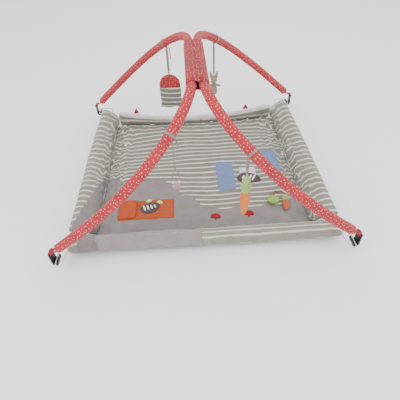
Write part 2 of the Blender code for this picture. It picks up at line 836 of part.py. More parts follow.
def make_sewn_pieces(floor):
    patch = finish("orange_patch", rect_patch(*ORANGE_PATCH, floor), ORANGE_COTTON)
    for side, (low, high) in zip((-1, 1), BLUE_PATCHES):
        finish(f"blue_patch_{side_name(side)}", rect_patch(low, high, floor), BLUE_COTTON)
    middle, radii, turn = LEFT_MOTIF
    motif = round_patch(middle, radii, floor, turn, thickness=PATCH_THICKNESS * 2.2)
    finish("left_motif", cut_clear(motif, patch), DARK_COTTON)
    middle, radii, turn = RIGHT_MOTIF
    finish("right_motif", round_patch(middle, radii, floor, turn), DARK_COTTON)
    for side, place in zip((-1, 1), TOADSTOOLS):
        finish(f"toadstool_{side_name(side)}", toadstool_patch(place, TOADSTOOL_SIZE, floor), DEEP_RED)
    make_lift_flap(patch)
    make_apple_and_carrot()


def make_lift_flap(patch):
    """Crinkle flap: a thin sewn edge, then a full rolled body that stands proud."""
    rings = []
    level = floor_top(FLAP_HINGE_X, sum(FLAP_SPAN) / 2) + PATCH_THICKNESS + REST_GAP
    for share in (0.0, 0.06, 0.2, 0.4, 0.6, 0.8, 0.94, 1.0):
        y = FLAP_SPAN[0] + (FLAP_SPAN[1] - FLAP_SPAN[0]) * share
        end_round = math.sqrt(max(0.0, 1 - (2 * share - 1) ** 6))
        reach = FLAP_REACH * (0.82 + 0.18 * end_round)
        ring = []
        for out, up in wall_profile(reach, FLAP_THICKNESS * (0.5 + 0.5 * end_round)):
            ring.append(Vector((FLAP_HINGE_X + out, y, level + up + out * 0.02)))
        rings.append(ring)
    flap = cut_clear(skin(rings), patch)
    return finish("lift_flap", flap, ORANGE_COTTON)


def make_apple_and_carrot():
    level = floor_top(*APPLE_PLACE) + REST_GAP
    x, y = APPLE_PLACE
    rings = []
    for share in (0.03, 0.15, 0.35, 0.6, 0.82, 0.97):
        turn = math.pi * share
        radius = APPLE_RADIUS * math.sin(turn)
        height = level + APPLE_THICKNESS / 2 * (1 - math.cos(turn))
        rings.append(oval(Vector((x, y, height)), Vector((1, 0, 0)), Vector((0, 1, 0)), radius, radius, 12))
    finish("apple", skin(rings), GREEN_COTTON)
    top = Vector((*SMALL_CARROT_TOP, 0))
    level = floor_top(*SMALL_CARROT_TOP) + REST_GAP + SMALL_CARROT_RADIUS * 0.72
    tip = Vector((SMALL_CARROT_TOP[0] - 0.012, SMALL_CARROT_TOP[1] - SMALL_CARROT_LENGTH, 0))
    start = Vector((top.x, top.y, level))
    end = Vector((tip.x, tip.y, level))
    split = 0.40
    up = Vector((0, 0, 1))
    r = SMALL_CARROT_RADIUS
    leaf = [(0.0, r * 0.3, r * 0.25), (0.1, r * 0.9, r * 0.6), (0.28, r, r * 0.7), (split - 0.01, r * 0.85, r * 0.68)]
    root = [(split, r * 0.85, r * 0.68), (0.55, r, r * 0.72), (0.8, r * 0.82, r * 0.6), (1.0, r * 0.35, r * 0.3)]
    finish("small_carrot_leaf", stuffed(start, end, leaf, up), GREEN_COTTON)
    finish("small_carrot_root", stuffed(start, end, root, up), TERRACOTTA_COTTON)
    make_apple_ribbon(start)


def make_apple_ribbon(carrot_top):
    """Bowed ribbon sewn to the floor, with its ends at the apple and the small carrot."""
    ax, ay = APPLE_PLACE
    level = floor_top(*RIBBON_ANCHOR)
    radius = 0.0022
    apple_end = Vector((ax + 0.006, ay + APPLE_RADIUS + 0.0030, level + APPLE_THICKNESS / 2))
    carrot_end = carrot_top + Vector((0.001, 0.0030, 0))
    anchor = Vector((*RIBBON_ANCHOR, level + radius + REST_GAP))
    line = []
    for k in range(5):
        share = k / 4
        hump = Vector((0, 0.010, 0.004)) * math.sin(math.pi * share)
        line.append(apple_end.lerp(anchor, share) + hump)
    for k in range(1, 5):
        share = k / 4
        hump = Vector((0, 0.008, 0.003)) * math.sin(math.pi * share)
        line.append(anchor.lerp(carrot_end, share) + hump)
    finish("apple_ribbon", tube(line, [radius] * len(line), 8), ORANGE_COTTON)


def make_rear_tabs(wall):
    """Two small folded tabs that stand up from the rear wall's rim."""
    for side, x in ((-1, from_left(0.090, 0.0)[0]), (1, from_right(0.122, 0.0)[0])):
        share = (x + FLOOR_WIDTH / 2) / FLOOR_WIDTH
        turn = REAR_WALL_LEAN + REAR_WALL_SLUMP * middle_share(share)
        width = REAR_WALL_WIDTH - REAR_WALL_DIP * middle_share(share)
        mid = REAR_WALL_THICKNESS / 2
        y = REAR_HINGE + width * math.cos(turn) - mid * math.sin(turn)
        z = HINGE_HEIGHT + width * math.sin(turn) + mid * math.cos(turn)
        outline = [(x - 0.016, z - 0.008), (x + 0.016, z - 0.008), (x + 0.003, z + 0.020), (x - 0.003, z + 0.020)]
        tab = extruded([outline], 0.003, UPRIGHT)
        tab.transform(Matrix.Translation((0, y, 0)))
        finish(f"rear_tab_{side_name(side)}", cut_clear(tab, wall), RED_FABRIC)


# Toys


def tie_band(middle, along, sides=16):
    """Band of ribbon round the sleeve."""
    inner = SLEEVE_RADIUS / math.cos(math.pi / sides) + TIE_CLEARANCE
    outer = inner + TIE_THICKNESS
    side = along.orthogonal().normalized()
    depth = along.cross(side)
    sections = []
    for k in range(sides):
        turn = 2 * math.pi * k / sides
        way = side * math.cos(turn) + depth * math.sin(turn)
        half = along * (TIE_WIDTH / 2)
        sections.append(
            [middle + way * inner - half, middle + way * outer - half, middle + way * outer + half, middle + way * inner + half]
        )
    return closed_ring(sections)


def knot_place(middle, along):
    """Middle of a knot on the underside of a band round the sleeve."""
    down = Vector((0, 0, -1))
    under = (down - along * down.dot(along)).normalized()
    band = SLEEVE_RADIUS / math.cos(math.pi / 16) + TIE_CLEARANCE + TIE_THICKNESS
    return middle + under * (band + KNOT_RADIUS * 0.55)


def make_tie(name, side, end, share, tails):
    """Band, knot and loose tails; returns the middle of the knot."""
    middle = leg_point(side, end, share)
    along = leg_direction(side, end, share)
    knot = knot_place(middle, along)
    mesh = combined(tie_band(middle, along), ball(knot, [KNOT_RADIUS] * 3, 10, 8), "UNION")
    for way, drop in tails:
        start = knot + Vector((0, 0, 0.0012))
        bend = knot + Vector((way * TAIL_SIDE, 0, -0.001))
        tip = bend + Vector((way * 0.003, 0, -drop))
        tail = tube([start, bend, tip], [TAIL_RADIUS] * 3, 6)
        mesh = combined(mesh, tail, "UNION")
    finish(name, mesh, TAUPE_RIBBON)
    return knot


def make_ribbon(name, knot, length, width):
    """Flat ribbon that hangs from the knot; returns the middle of the toy's top knob."""
    reach = KNOT_RADIUS + GAP * 2
    low = knot + Vector((-width / 2, -RIBBON_THICKNESS / 2, -length - reach))
    high = knot + Vector((width / 2, RIBBON_THICKNESS / 2, -reach))
    finish(name, box(low, high), TAUPE_RIBBON)
    return knot + Vector((0, 0, -length - 2 * reach))


def knob_profile(length):
    """Rings of a small hanging knob and its neck, as shares of a toy part's length."""
    r = KNOT_RADIUS * 0.8
    rings = []
    for turn in (25, 60, 95, 130):
        angle = math.radians(turn)
        rings.append((r * (1 - math.cos(angle)) / length, r * math.sin(angle), r * math.sin(angle)))
    return rings, r * 1.9 / length


def make_pouch(knot):
    top = make_ribbon("pouch_ribbon", knot, POUCH_RIBBON, RIBBON_WIDTH)
    dome_top = top + Vector((0, 0, -POUCH_LOOP_DROP))
    half_width = POUCH_WIDTH / 2
    half_depth = POUCH_THICKNESS / 2
    depth = Vector((0, 1, 0))
    dome = []
    for share in (0.02, 0.10, 0.25, 0.45, 0.7, 1.0):
        wide = half_width * math.sqrt(1 - (1 - share) ** 2.4)
        deep = half_depth * (1 - (1 - share) ** 3)
        dome.append((share * POUCH_DOME / POUCH_HEIGHT, wide, deep))
    bottom = dome_top + Vector((0, 0, -POUCH_HEIGHT))
    pouch_top = finish("pouch_top", stuffed(dome_top, bottom, dome, depth, 14), RED_FABRIC)
    seam = (POUCH_DOME + GAP * 1.5) / POUCH_HEIGHT
    body = []
    for share, wide, deep in (
        (0.0, 1.0, 1.0),
        (0.25, 1.01, 1.0),
        (0.5, 1.02, 0.92),
        (0.75, 1.05, 0.72),
        (0.92, 1.06, 0.42),
        (1.0, 1.02, 0.16),
    ):
        body.append((seam + (1 - seam) * share, half_width * wide, half_depth * deep))
    finish("pouch_body", stuffed(dome_top, bottom, body, depth, 14), STRIPED_JERSEY)
    loop = ball(top, [KNOT_RADIUS, KNOT_RADIUS * 0.8, KNOT_RADIUS], 10, 8)
    stem = box(top + Vector((-0.003, -0.002, -0.010)), top + Vector((0.003, 0.002, -0.001)))
    loop = combined(loop, stem, "UNION")
    finish("pouch_loop", cut_clear(loop, pouch_top), ORANGE_COTTON)


def make_rabbit(knot):
    top = make_ribbon("rabbit_ribbon", knot, RABBIT_RIBBON, RIBBON_WIDTH * 0.8)
    down = Vector((0, 0, -1))
    size = RABBIT_HEIGHT
    knob, neck = knob_profile(size * 0.36)
    head_profile = knob + [
        (neck, 0.0016, 0.0016),
        (neck + 0.10, 0.0075, 0.0065),
        (0.45, 0.0125, 0.0100),
        (0.68, 0.0130, 0.0105),
        (0.88, 0.0095, 0.0085),
        (1.0, 0.0050, 0.0045),
    ]
    body_start = top + down * (size * 0.33)
    body_end = top + down * (size * 0.84)
    body_profile = [
        (0.0, 0.0060, 0.0050),
        (0.15, 0.0100, 0.0080),
        (0.40, 0.0130, 0.0105),
        (0.70, 0.0145, 0.0115),
        (0.90, 0.0115, 0.0095),
        (1.0, 0.0060, 0.0050),
    ]
    body = finish("rabbit_body", stuffed(body_start, body_end, body_profile), LINEN)
    head_mesh = stuffed(top + Vector((0, 0, KNOT_RADIUS * 0.8)), top + down * (size * 0.36), head_profile)
    head = finish("rabbit_head", cut_clear(head_mesh, body), LINEN)
    ear_profile = [(0.0, 0.0040, 0.0035), (0.3, 0.0058, 0.0042), (0.7, 0.0046, 0.0034), (1.0, 0.0012, 0.0012)]
    arm_profile = [(0.0, 0.0040, 0.0040), (0.4, 0.0046, 0.0044), (0.8, 0.0052, 0.0048), (1.0, 0.0030, 0.0030)]
    for side in (-1, 1):
        ear_base = top + Vector((side * 0.0085, 0, -size * 0.17))
        ear_tip = top + Vector((side * 0.0145, 0.001, size * 0.15))
        ear = cut_clear(stuffed(ear_base, ear_tip, ear_profile, count=8), head)
        finish(f"rabbit_ear_{side_name(side)}", ear, LINEN)
        shoulder = body_start + Vector((side * 0.0080, 0, -size * 0.07))
        hand = body_start + Vector((side * 0.0270, -0.003, -size * 0.13))
        arm = cut_clear(stuffed(shoulder, hand, arm_profile, count=8), body)
        finish(f"rabbit_arm_{side_name(side)}", cut_clear(arm, head), LINEN)


def make_beads(knot):
    top = make_ribbon("beads_thread", knot, BEADS_THREAD, THREAD_WIDTH)
    height = BEAD_LOOP_HEIGHT
    line = []
    count = 22
    for k in range(count):
        turn = 2 * math.pi * k / count
        drop = height / 2 * (1 - math.cos(turn))
        swell = math.sin(turn) * (BEAD_LOOP_WIDTH / 2) * (0.55 + 0.45 * (1 - math.cos(turn)) / 2) * 1.15
        line.append(top + Vector((swell, 0, -drop)))
    loop_mesh_made = tube(line, [BEAD_CORD_RADIUS] * count, 8, cyclic=True)
    knob = ball(top, [KNOT_RADIUS * 0.8] * 3, 10, 8)
    loop = finish("bead_loop", combined(loop_mesh_made, knob, "UNION"), TAUPE_RIBBON)
    for side, k in ((1, 8), (-1, count - 8)):
        bead = cut_clear(ball(line[k], [BEAD_RADIUS] * 3, 12, 8), loop)
        finish(f"white_bead_{side_name(side)}", bead, WHITE_WOOD)
    low = top + Vector((0, 0, -height - PENDANT_RADIUS * 0.55))
    pendant = ball(low, [PENDANT_RADIUS, PENDANT_RADIUS * 0.55, PENDANT_RADIUS], 16, 10)
    finish("bead_pendant", cut_clear(pendant, loop), PINK_WOOD)


def make_carrot(knot):
    top = make_ribbon("carrot_ribbon", knot, CARROT_RIBBON, RIBBON_WIDTH * 0.78)
    down = Vector((0, 0, -1))
    knob, neck = knob_profile(CARROT_LEAF_HEIGHT)
    half = CARROT_LEAF_WIDTH / 2
    leaf_profile = knob + [
        (neck, 0.0018, 0.0018),
        (neck + 0.08, half * 0.36, 0.005),
        (0.38, half * 0.72, 0.009),
        (0.52, half * 0.66, 0.010),
        (0.68, half * 1.0, 0.012),
        (0.80, half * 0.84, 0.013),
        (1.0, half * 0.78, 0.0125),
    ]
    start = top + Vector((0, 0, KNOT_RADIUS * 0.8))
    end = start + down * CARROT_LEAF_HEIGHT
    finish("carrot_leaves", stuffed(start, end, leaf_profile, count=12), GREEN_COTTON)
    root_start = end + down * (GAP * 1.5)
    root_end = root_start + down * CARROT_ROOT_LENGTH
    r = CARROT_ROOT_RADIUS
    root_profile = [
        (0.0, r * 0.80, r * 0.72),
        (0.08, r * 0.98, r * 0.84),
        (0.25, r, r * 0.86),
        (0.5, r * 0.86, r * 0.76),
        (0.75, r * 0.62, r * 0.56),
        (0.93, r * 0.40, r * 0.36),
        (1.0, r * 0.18, r * 0.17),
    ]
    finish("carrot_root", stuffed(root_start, root_end, root_profile, count=12), ORANGE_COTTON)


def main():
    make_backing()
    floor = make_floor_pad()
    walls = make_walls()
    make_rear_tabs(walls["rear"])
    make_sewn_pieces(floor)
    make_hub_cover()
    for side in (-1, 1):
        make_sleeve(side)
        make_pole(side)
        for end in (-1, 1):
            make_corner(side, end, walls["front"] if end < 0 else walls[side])
    make_pouch(make_tie("pouch_tie", -1, 1, POUCH_TIE, ((1, 0.045),)))
    make_rabbit(make_tie("rabbit_tie", 1, 1, RABBIT_TIE, ()))
    make_beads(make_tie("beads_tie", -1, -1, BEADS_TIE, ((1, 0.018), (-1, 0.014))))
    make_carrot(make_tie("carrot_tie", 1, -1, CARROT_TIE, ()))


PARTS = start_scene()
RED_FABRIC = material("red_spotted_cotton", (0.60, 0.07, 0.08), 0.85)
STRIPED_JERSEY = material("striped_jersey", (0.42, 0.40, 0.36), 0.9)
GREY_JERSEY = material("grey_jersey", (0.38, 0.36, 0.34), 0.9)
PALE_COTTON = material("pale_cotton", (0.74, 0.70, 0.68), 0.9)
BLACK_PLASTIC = material("black_plastic", (0.02, 0.02, 0.02), 0.45)
POLE_PLASTIC = material("pole_plastic", (0.55, 0.55, 0.53), 0.5)
TAUPE_RIBBON = material("taupe_ribbon", (0.26, 0.24, 0.22), 0.8)
ORANGE_COTTON = material("orange_cotton", (0.80, 0.20, 0.05), 0.85)
TERRACOTTA_COTTON = material("terracotta_cotton", (0.62, 0.19, 0.07), 0.85)
BLUE_COTTON = material("blue_cotton", (0.22, 0.36, 0.62), 0.85)
GREEN_COTTON = material("green_cotton", (0.38, 0.60, 0.16), 0.85)
DARK_COTTON = material("dark_cotton", (0.09, 0.065, 0.065), 0.9)
DEEP_RED = material("deep_red_cotton", (0.42, 0.02, 0.03), 0.85)
LINEN = material("speckled_linen", (0.46, 0.42, 0.30), 0.9)
WHITE_WOOD = material("white_wood", (0.80, 0.78, 0.78), 0.5)
PINK_WOOD = material("pink_wood", (0.50, 0.24, 0.26), 0.55)

main()
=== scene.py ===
"""Baby play gym: padded striped mat, two spotted sleeves over bent poles, four hanging toys.

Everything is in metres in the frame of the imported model: the mat lies on the floor at Z = 0,
the front is towards -Y and the left is towards -X."""
import math

import bmesh
import bpy
from bpy.props import FloatProperty, FloatVectorProperty, PointerProperty
from mathutils import Matrix, Vector, noise
from mathutils.bvhtree import BVHTree


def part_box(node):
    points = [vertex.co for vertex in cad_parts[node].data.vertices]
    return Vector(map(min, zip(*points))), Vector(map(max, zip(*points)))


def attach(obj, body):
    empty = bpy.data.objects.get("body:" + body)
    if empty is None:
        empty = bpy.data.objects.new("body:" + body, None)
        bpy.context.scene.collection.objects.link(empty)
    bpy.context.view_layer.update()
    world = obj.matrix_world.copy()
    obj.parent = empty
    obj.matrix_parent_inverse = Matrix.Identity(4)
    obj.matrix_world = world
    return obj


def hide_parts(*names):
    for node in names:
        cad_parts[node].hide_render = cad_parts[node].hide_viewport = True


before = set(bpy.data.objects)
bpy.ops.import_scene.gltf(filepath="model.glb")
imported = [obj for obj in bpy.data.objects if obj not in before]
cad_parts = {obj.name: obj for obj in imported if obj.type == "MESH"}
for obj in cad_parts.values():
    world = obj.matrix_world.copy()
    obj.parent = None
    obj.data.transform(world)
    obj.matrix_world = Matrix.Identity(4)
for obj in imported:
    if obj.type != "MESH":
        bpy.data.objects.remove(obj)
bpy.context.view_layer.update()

bl_info = {
    "name": "Baby play gym",
    "version": (1, 0, 0),
    "blender": (4, 5, 0),
    "location": "3D View > Sidebar > Play gym",
    "description": "Dresses a baby play gym: mat, sleeves, hooks and hanging toys",
    "category": "Object",
}

SIDES = {"left": -1, "right": 1}
ENDS = ("front", "rear")


def size_of(node):
    low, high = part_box(node)
    return high - low


def middle_of(node):
    low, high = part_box(node)
    return (low + high) / 2


FLOOR_LOW, FLOOR_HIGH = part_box("floor_pad")
FLOOR_LEVEL = FLOOR_HIGH.z
SEAM_LEVEL = FLOOR_LOW.z
SEAM_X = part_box("mat_backing")[1].x
REAR_SEAM_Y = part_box("mat_backing")[1].y


# Shader maths


class Wire:
    """Output socket of a node, with arithmetic that adds nodes."""

    def __init__(self, paint, socket, vector=False):
        self.paint = paint
        self.socket = socket
        self.vector = vector

    def combine(self, operation, other, swap=False):
        pair = (other, self) if swap else (self, other)
        settings = {"operation": operation}
        if self.vector or getattr(other, "vector", False):
            pair = [self.paint.as_vector(item) for item in pair]
            return self.paint.node("ShaderNodeVectorMath", settings, dict(enumerate(pair)), vector=True)
        return self.paint.node("ShaderNodeMath", settings, dict(enumerate(pair)))

    def __add__(self, other):
        return self.combine("ADD", other)

    __radd__ = __add__

    def __sub__(self, other):
        return self.combine("SUBTRACT", other)

    def __rsub__(self, other):
        return self.combine("SUBTRACT", other, True)

    def __mul__(self, other):
        return self.combine("MULTIPLY", other)

    __rmul__ = __mul__

    def __truediv__(self, other):
        return self.combine("DIVIDE", other)

    def __mod__(self, other):
        return self.combine("FLOORED_MODULO", other)

    def __abs__(self):
        return self.combine("ABSOLUTE", 0.0)

    def least(self, other):
        return self.combine("MINIMUM", other)

    def most(self, other):
        return self.combine("MAXIMUM", other)

    def sine(self):
        return self.combine("SINE", 0.0)

    def root(self):
        return self.combine("SQRT", 0.0)

    def step(self, low, high):
        """0 below the low value and 1 above the high one, with a smooth rise."""
        values = {"Value": self, "From Min": low, "From Max": high}
        return self.paint.node("ShaderNodeMapRange", {"interpolation_type": "SMOOTHSTEP"}, values)

    def past(self, blur=0.001):
        """1 where the value is above zero, with a narrow blur."""
        return self.step(-blur, blur)

    def line(self, solid, edge):
        """1 up to the solid distance on both sides of zero, fading out to the edge."""
        return 1 - abs(self).step(solid, edge)


class Paint:
    """Material under construction."""

    def __init__(self, name, roughness, sheen=0.0, gloss=0.25):
        self.material = bpy.data.materials.new(name)
        self.material.use_nodes = True
        self.tree = self.material.node_tree
        self.tree.nodes.clear()
        values = {
            "Roughness": roughness,
            "Sheen Weight": sheen,
            "Sheen Roughness": 0.5,
            "Specular IOR Level": gloss,
        }
        surface = self.node("ShaderNodeBsdfPrincipled", None, values).socket
        self.shader = surface.node
        output = self.tree.nodes.new("ShaderNodeOutputMaterial")
        self.tree.links.new(surface, output.inputs["Surface"])
        self.place = self.node("ShaderNodeTexCoord", output="Object", vector=True)

    def node(self, kind, settings=None, sockets=None, output=0, vector=False):
        made = self.tree.nodes.new(kind)
        for name, value in (settings or {}).items():
            setattr(made, name, value)
        for name, value in (sockets or {}).items():
            if isinstance(value, Wire):
                self.tree.links.new(value.socket, made.inputs[name])
            else:
                made.inputs[name].default_value = value
        return Wire(self, made.outputs[output], vector)

    def as_vector(self, item):
        if isinstance(item, Wire) and not item.vector:
            return self.node("ShaderNodeCombineXYZ", None, {0: item, 1: item, 2: item}, vector=True)
        if isinstance(item, (int, float)):
            return (item, item, item)
        return item

    def axes(self, source=None):
        first = self.node("ShaderNodeSeparateXYZ", None, {0: source or self.place})
        return [Wire(self, socket) for socket in first.socket.node.outputs]

    def flat(self):
        """Place on the cloth laid out flat: girth and length."""
        return self.node("ShaderNodeTexCoord", output="UV", vector=True)

    def noise(self, scale, detail=2.0, stretch=None):
        source = self.place * stretch if stretch else self.place
        return self.node("ShaderNodeTexNoise", None, {"Vector": source, "Scale": scale, "Detail": detail})

    def mix(self, factor, first, second):
        """First colour where the factor is 0 and the second where it is 1."""
        pair = [item if isinstance(item, Wire) else (*item, 1) for item in (first, second)]
        sockets = {0: factor, 6: pair[0], 7: pair[1]}
        return self.node("ShaderNodeMix", {"data_type": "RGBA"}, sockets, output=2, vector=True)

    def colour(self, value):
        if isinstance(value, Wire):
            self.tree.links.new(value.socket, self.shader.inputs["Base Color"])
        else:
            self.shader.inputs["Base Color"].default_value = (*value, 1)

    def bump(self, height, distance, strength):
        values = {"Height": height, "Distance": distance, "Strength": strength}
        made = self.node("ShaderNodeBump", None, values)
        self.tree.links.new(made.socket, self.shader.inputs["Normal"])

    def weave(self, pitch):
        """Height of a plain weave with threads a pitch apart, along all three axes."""
        x, y, z = (axis * (2 * math.pi / pitch) for axis in self.axes())
        return (x.sine() * y.sine() + z.sine() * (x + y).sine()) * 0.5

    def worn(self, colour, amount, scale=35.0):
        """Colour with the small uneven fading of washed cloth."""
        light = [min(1.0, value * (1 + amount)) for value in colour]
        dark = [value * (1 - amount) for value in colour]
        return self.mix(self.noise(scale, 3.0).step(0.3, 0.7), dark, light)


class SceneColours(bpy.types.PropertyGroup):
    """Colours of the gym's cloths."""

    sleeve_red: FloatVectorProperty(
        name="Sleeve red",
        description="Ground colour of the spotted sleeves",
        subtype="COLOR",
        default=(0.43, 0.030, 0.042),
    )
    spot_cream: FloatVectorProperty(
        name="Spot cream",
        description="Colour of the spots on the sleeves",
        subtype="COLOR",
        default=(0.72, 0.47, 0.34),
    )
    stripe_grey: FloatVectorProperty(
        name="Stripe grey",
        description="Wide stripe of the jersey",
        subtype="COLOR",
        default=(0.182, 0.174, 0.145),
    )
    stripe_cream: FloatVectorProperty(
        name="Stripe cream",
        description="Narrow stripe of the jersey",
        subtype="COLOR",
        default=(0.585, 0.56, 0.49),
    )
    plain_taupe: FloatVectorProperty(
        name="Plain taupe",
        description="Plain jersey of the floor's front",
        subtype="COLOR",
        default=(0.208, 0.187, 0.180),
    )
    lining: FloatVectorProperty(
        name="Lining",
        description="Pale cotton of the underside and the rear rim",
        subtype="COLOR",
        default=(0.66, 0.60, 0.61),
    )


class GymSizes(bpy.types.PropertyGroup):
    """Sizes of the gym's cloth details."""

    stripe_pitch: FloatProperty(
        name="Stripe pitch",
        description="From one cream stripe to the next",
        unit="LENGTH",
        default=0.022,
        min=0.005,
    )
    stripe_width: FloatProperty(
        name="Cream stripe",
        description="Width of a cream stripe",
        unit="LENGTH",
        default=0.0062,
        min=0.001,
    )
    spot_pitch: FloatProperty(
        name="Spot pitch",
        description="Usual distance between spots",
        unit="LENGTH",
        default=0.0096,
        min=0.002,
    )
    spot_size: FloatProperty(
        name="Spot size",
        description="Radius of a spot",
        unit="LENGTH",
        default=0.0013,
        min=0.0003,
    )
    wrinkle: FloatProperty(
        name="Wrinkle depth",
        description="Depth of the mat's creases",
        unit="LENGTH",
        default=0.004,
        min=0.0,
    )


def colours():
    return bpy.context.scene.gym_colours


def sizes():
    return bpy.context.scene.gym_sizes


# Cloth finishes

ORANGE = (0.39, 0.055, 0.009)
DEEP_ORANGE = (0.37, 0.066, 0.017)
CARROT_ORANGE = (0.70, 0.185, 0.040)
BROWN_ORANGE = (0.47, 0.115, 0.032)
LEAF_GREEN = (0.33, 0.44, 0.135)
LIME_GREEN = (0.55, 0.68, 0.22)
APPLE_GREEN = (0.25, 0.40, 0.07)
SKY_BLUE = (0.135, 0.195, 0.345)
TOADSTOOL_RED = (0.25, 0.009, 0.018)
CREAM = (0.72, 0.69, 0.62)
BEAD_WHITE = (0.78, 0.76, 0.77)
SEAM_RED = (0.25, 0.02, 0.03)
STITCH_RED = (0.22, 0.02, 0.03)
SEAM_TAUPE = (0.13, 0.11, 0.10)

FINISHES = {}


def finish(make, name=None, *settings):
    """Material made at its first use, named as its function or as given."""
    name = name or make.__name__
    if name not in FINISHES:
        FINISHES[name] = make(name, *settings)
    return FINISHES[name]


def toned(colour, share):
    """Colour made lighter or darker by a share."""
    return [share * value for value in colour]


def spots(paint, source, painted_shade=1.0):
    """Colour of small cream spots over the red ground, over a flat layout; the last argument below 1 darkens
    the red ground and the cream spots as painted shade.
    """
    pitch = sizes().spot_pitch
    skewed = source + (paint.noise(120.0, 1.0) - 0.5) * 0.004
    cells = paint.node(
        "ShaderNodeTexVoronoi",
        {"voronoi_dimensions": "2D", "feature": "F1"},
        {"Vector": skewed, "Scale": 1 / pitch, "Randomness": 0.62},
        output="Distance",
    )
    size = sizes().spot_size / pitch
    odd = (paint.noise(0.9 / pitch, 0.0) - 0.5) * 0.05
    spot = 1 - (cells + odd).step(size * 0.8, size * 1.15)
    # painted shade: the red ground, and the cream spots less, darkened by the given share
    red = toned(colours().sleeve_red, painted_shade)
    return paint.mix(spot, paint.worn(red, 0.12, 40.0), toned(colours().spot_cream, 0.3 + 0.7 * painted_shade))


def spotted_paint(name):
    """Spotted cotton with its weave and soft folds, still without its colour."""
    paint = Paint(name, 0.85, 0.06)
    threads = paint.weave(0.0009) + paint.noise(500.0, 2.0) * 0.5
    paint.bump(threads * 0.25 + paint.noise(60.0, 3.0) * 2.0, 0.0008, 0.5)
    return paint


def spotted_sleeve(name):
    """Spotted cotton laid out along a sleeve, with its lengthwise seam."""
    paint = spotted_paint(name)
    flat = paint.flat()
    seam = (paint.axes(flat)[0] - SLEEVE_SEAM_GIRTH).line(0.0003, 0.0009)
    paint.colour(paint.mix(seam * 0.5, spots(paint, flat), SEAM_RED))
    return paint.material


def spotted_cotton(name):
    """Spots laid out over the faces that look forwards, darkened as painted shade."""
    paint = spotted_paint(name)
    x, _, z = paint.axes()
    upright = paint.node("ShaderNodeCombineXYZ", None, {0: x, 1: z, 2: 0.0}, vector=True)
    paint.colour(spots(paint, upright, 0.8))
    return paint.material


def spotted_panel(name):
    """Spotted cotton of the hub, darkened as painted shade, with a row of stitches beside its front end."""
    paint = spotted_paint(name)
    flat = paint.flat()
    girth, along, _ = paint.axes(flat)
    row = (along + (HUB_FRONT - HUB_STITCH_INSET)).line(0.0004, 0.0009)
    dashes = (girth * (2 * math.pi / 0.0042)).sine().step(-0.3, 0.1)
    paint.colour(paint.mix(row * dashes * 0.8, spots(paint, flat, 0.72), STITCH_RED))
    return paint.material


def drawn_out(y, start):
    """Place along the mat for its stripes, which lie wider apart towards the rear."""
    rear = y.most(0.0)
    return y * start - rear * rear * 0.34


def seam_folds(paint, near):
    """Height of the folds that run beside a seam along Y, strongest where near is 1."""
    long = paint.noise(46.0, 1.0, stretch=(1, 0.30, 0.6)) - 0.5
    short = paint.noise(30.0, 1.0, stretch=(0.4, 1, 0.4)) - 0.5
    return (long * 1.6 + short * 0.6) * near


def fold_lines(folds, near):
    """1 along the sharp bottoms of those folds, where the jersey is darkened as painted shade."""
    sharp = 1 - (abs(folds + 0.03) * 11.0).least(1.0)
    return sharp * sharp * near


def striped(paint, along, warp, lift=1.0):
    """Cream stripes over grey, drawn out along one coordinate; lift makes the grey lighter, as painted light
    on walls that are the same jersey as the floor.
    """
    pitch = sizes().stripe_pitch
    half = sizes().stripe_width / pitch / 2
    drift = (paint.noise(7.0, 2.0) - 0.5) * warp
    phase = abs(((along + drift) / pitch) % 1.0 - 0.5)
    cream = 1 - (phase + paint.noise(900.0, 1.0) * 0.03).step(half - 0.02, half + 0.05)
    grey = toned(colours().stripe_grey, lift)
    return paint.mix(cream, paint.worn(grey, 0.08), paint.worn(colours().stripe_cream, 0.05))


def knit_bump(paint, folds, extra=0.0):
    x, y, z = paint.axes()
    turns = 2 * math.pi / 0.0016
    ribs = ((x + z * 0.6) * turns).sine() * ((y + z * 0.8) * turns).sine()
    soft = paint.noise(38.0, 3.0) * (2.2 * folds)
    paint.bump(ribs * 0.12 + paint.noise(600.0, 3.0) * 0.35 + soft + extra, 0.001, 0.55)


def stitches(across, along, place, pitch, width):
    """Mask of a line of stitches that keeps one coordinate and runs along another."""
    dashes = (along * (2 * math.pi / pitch)).sine().step(-0.4, 0.0)
    return (across - place).line(width * 0.5, width) * dashes


# Where the plain panel's rear edge steps across the floor: from, to and how far
HILL_BASE = -0.032
HILL_STEPS = (
    (-0.36, -0.27, -0.035),
    (-0.15, -0.09, -0.05),
    (-0.085, -0.075, -0.045),
    (-0.05, 0.02, -0.075),
    (0.28, 0.35, 0.075),
)


def hill_edge(x):
    """Rear edge of the plain front panel, as a scalloped line across the floor."""
    edge = (x * 62.0).sine() * 0.007 * x.step(0.02, 0.06) + HILL_BASE
    for start, end, rise in HILL_STEPS:
        edge = edge + x.step(start, end) * rise
    return edge


def jersey(name):
    return Paint(name, 0.92, 0.10)


def plain_jersey(paint):
    return paint.worn(colours().plain_taupe, 0.07)


def floor_jersey(name):
    """Striped, with the plain panel in front and sharp folds beside the side and rear seams, with painted
    shade along the folds' bottoms.
    """
    paint = jersey(name)
    x, y, _ = paint.axes()
    edge = hill_edge(x)
    near = abs(x).step(0.235, 0.34).most(y.step(0.24, 0.33) * 0.5)
    folds = seam_folds(paint, near)
    swing = (paint.noise(3.2, 1.0) - 0.5) * 0.060
    along = drawn_out(y + folds * 0.046 + swing, 0.9)
    base = paint.mix(1 - (y - edge).past(0.0006), striped(paint, along, 0.012), plain_jersey(paint))
    # painted shade: dark jersey along the bottoms of the folds
    base = paint.mix(fold_lines(folds, near) * 0.5, base, (0.10, 0.095, 0.08))
    paint.colour(paint.mix((y - edge).line(0.0006, 0.0020) * 0.45, base, (0.12, 0.10, 0.09)))
    knit_bump(paint, 1.0, folds * 9.0)
    return paint.material


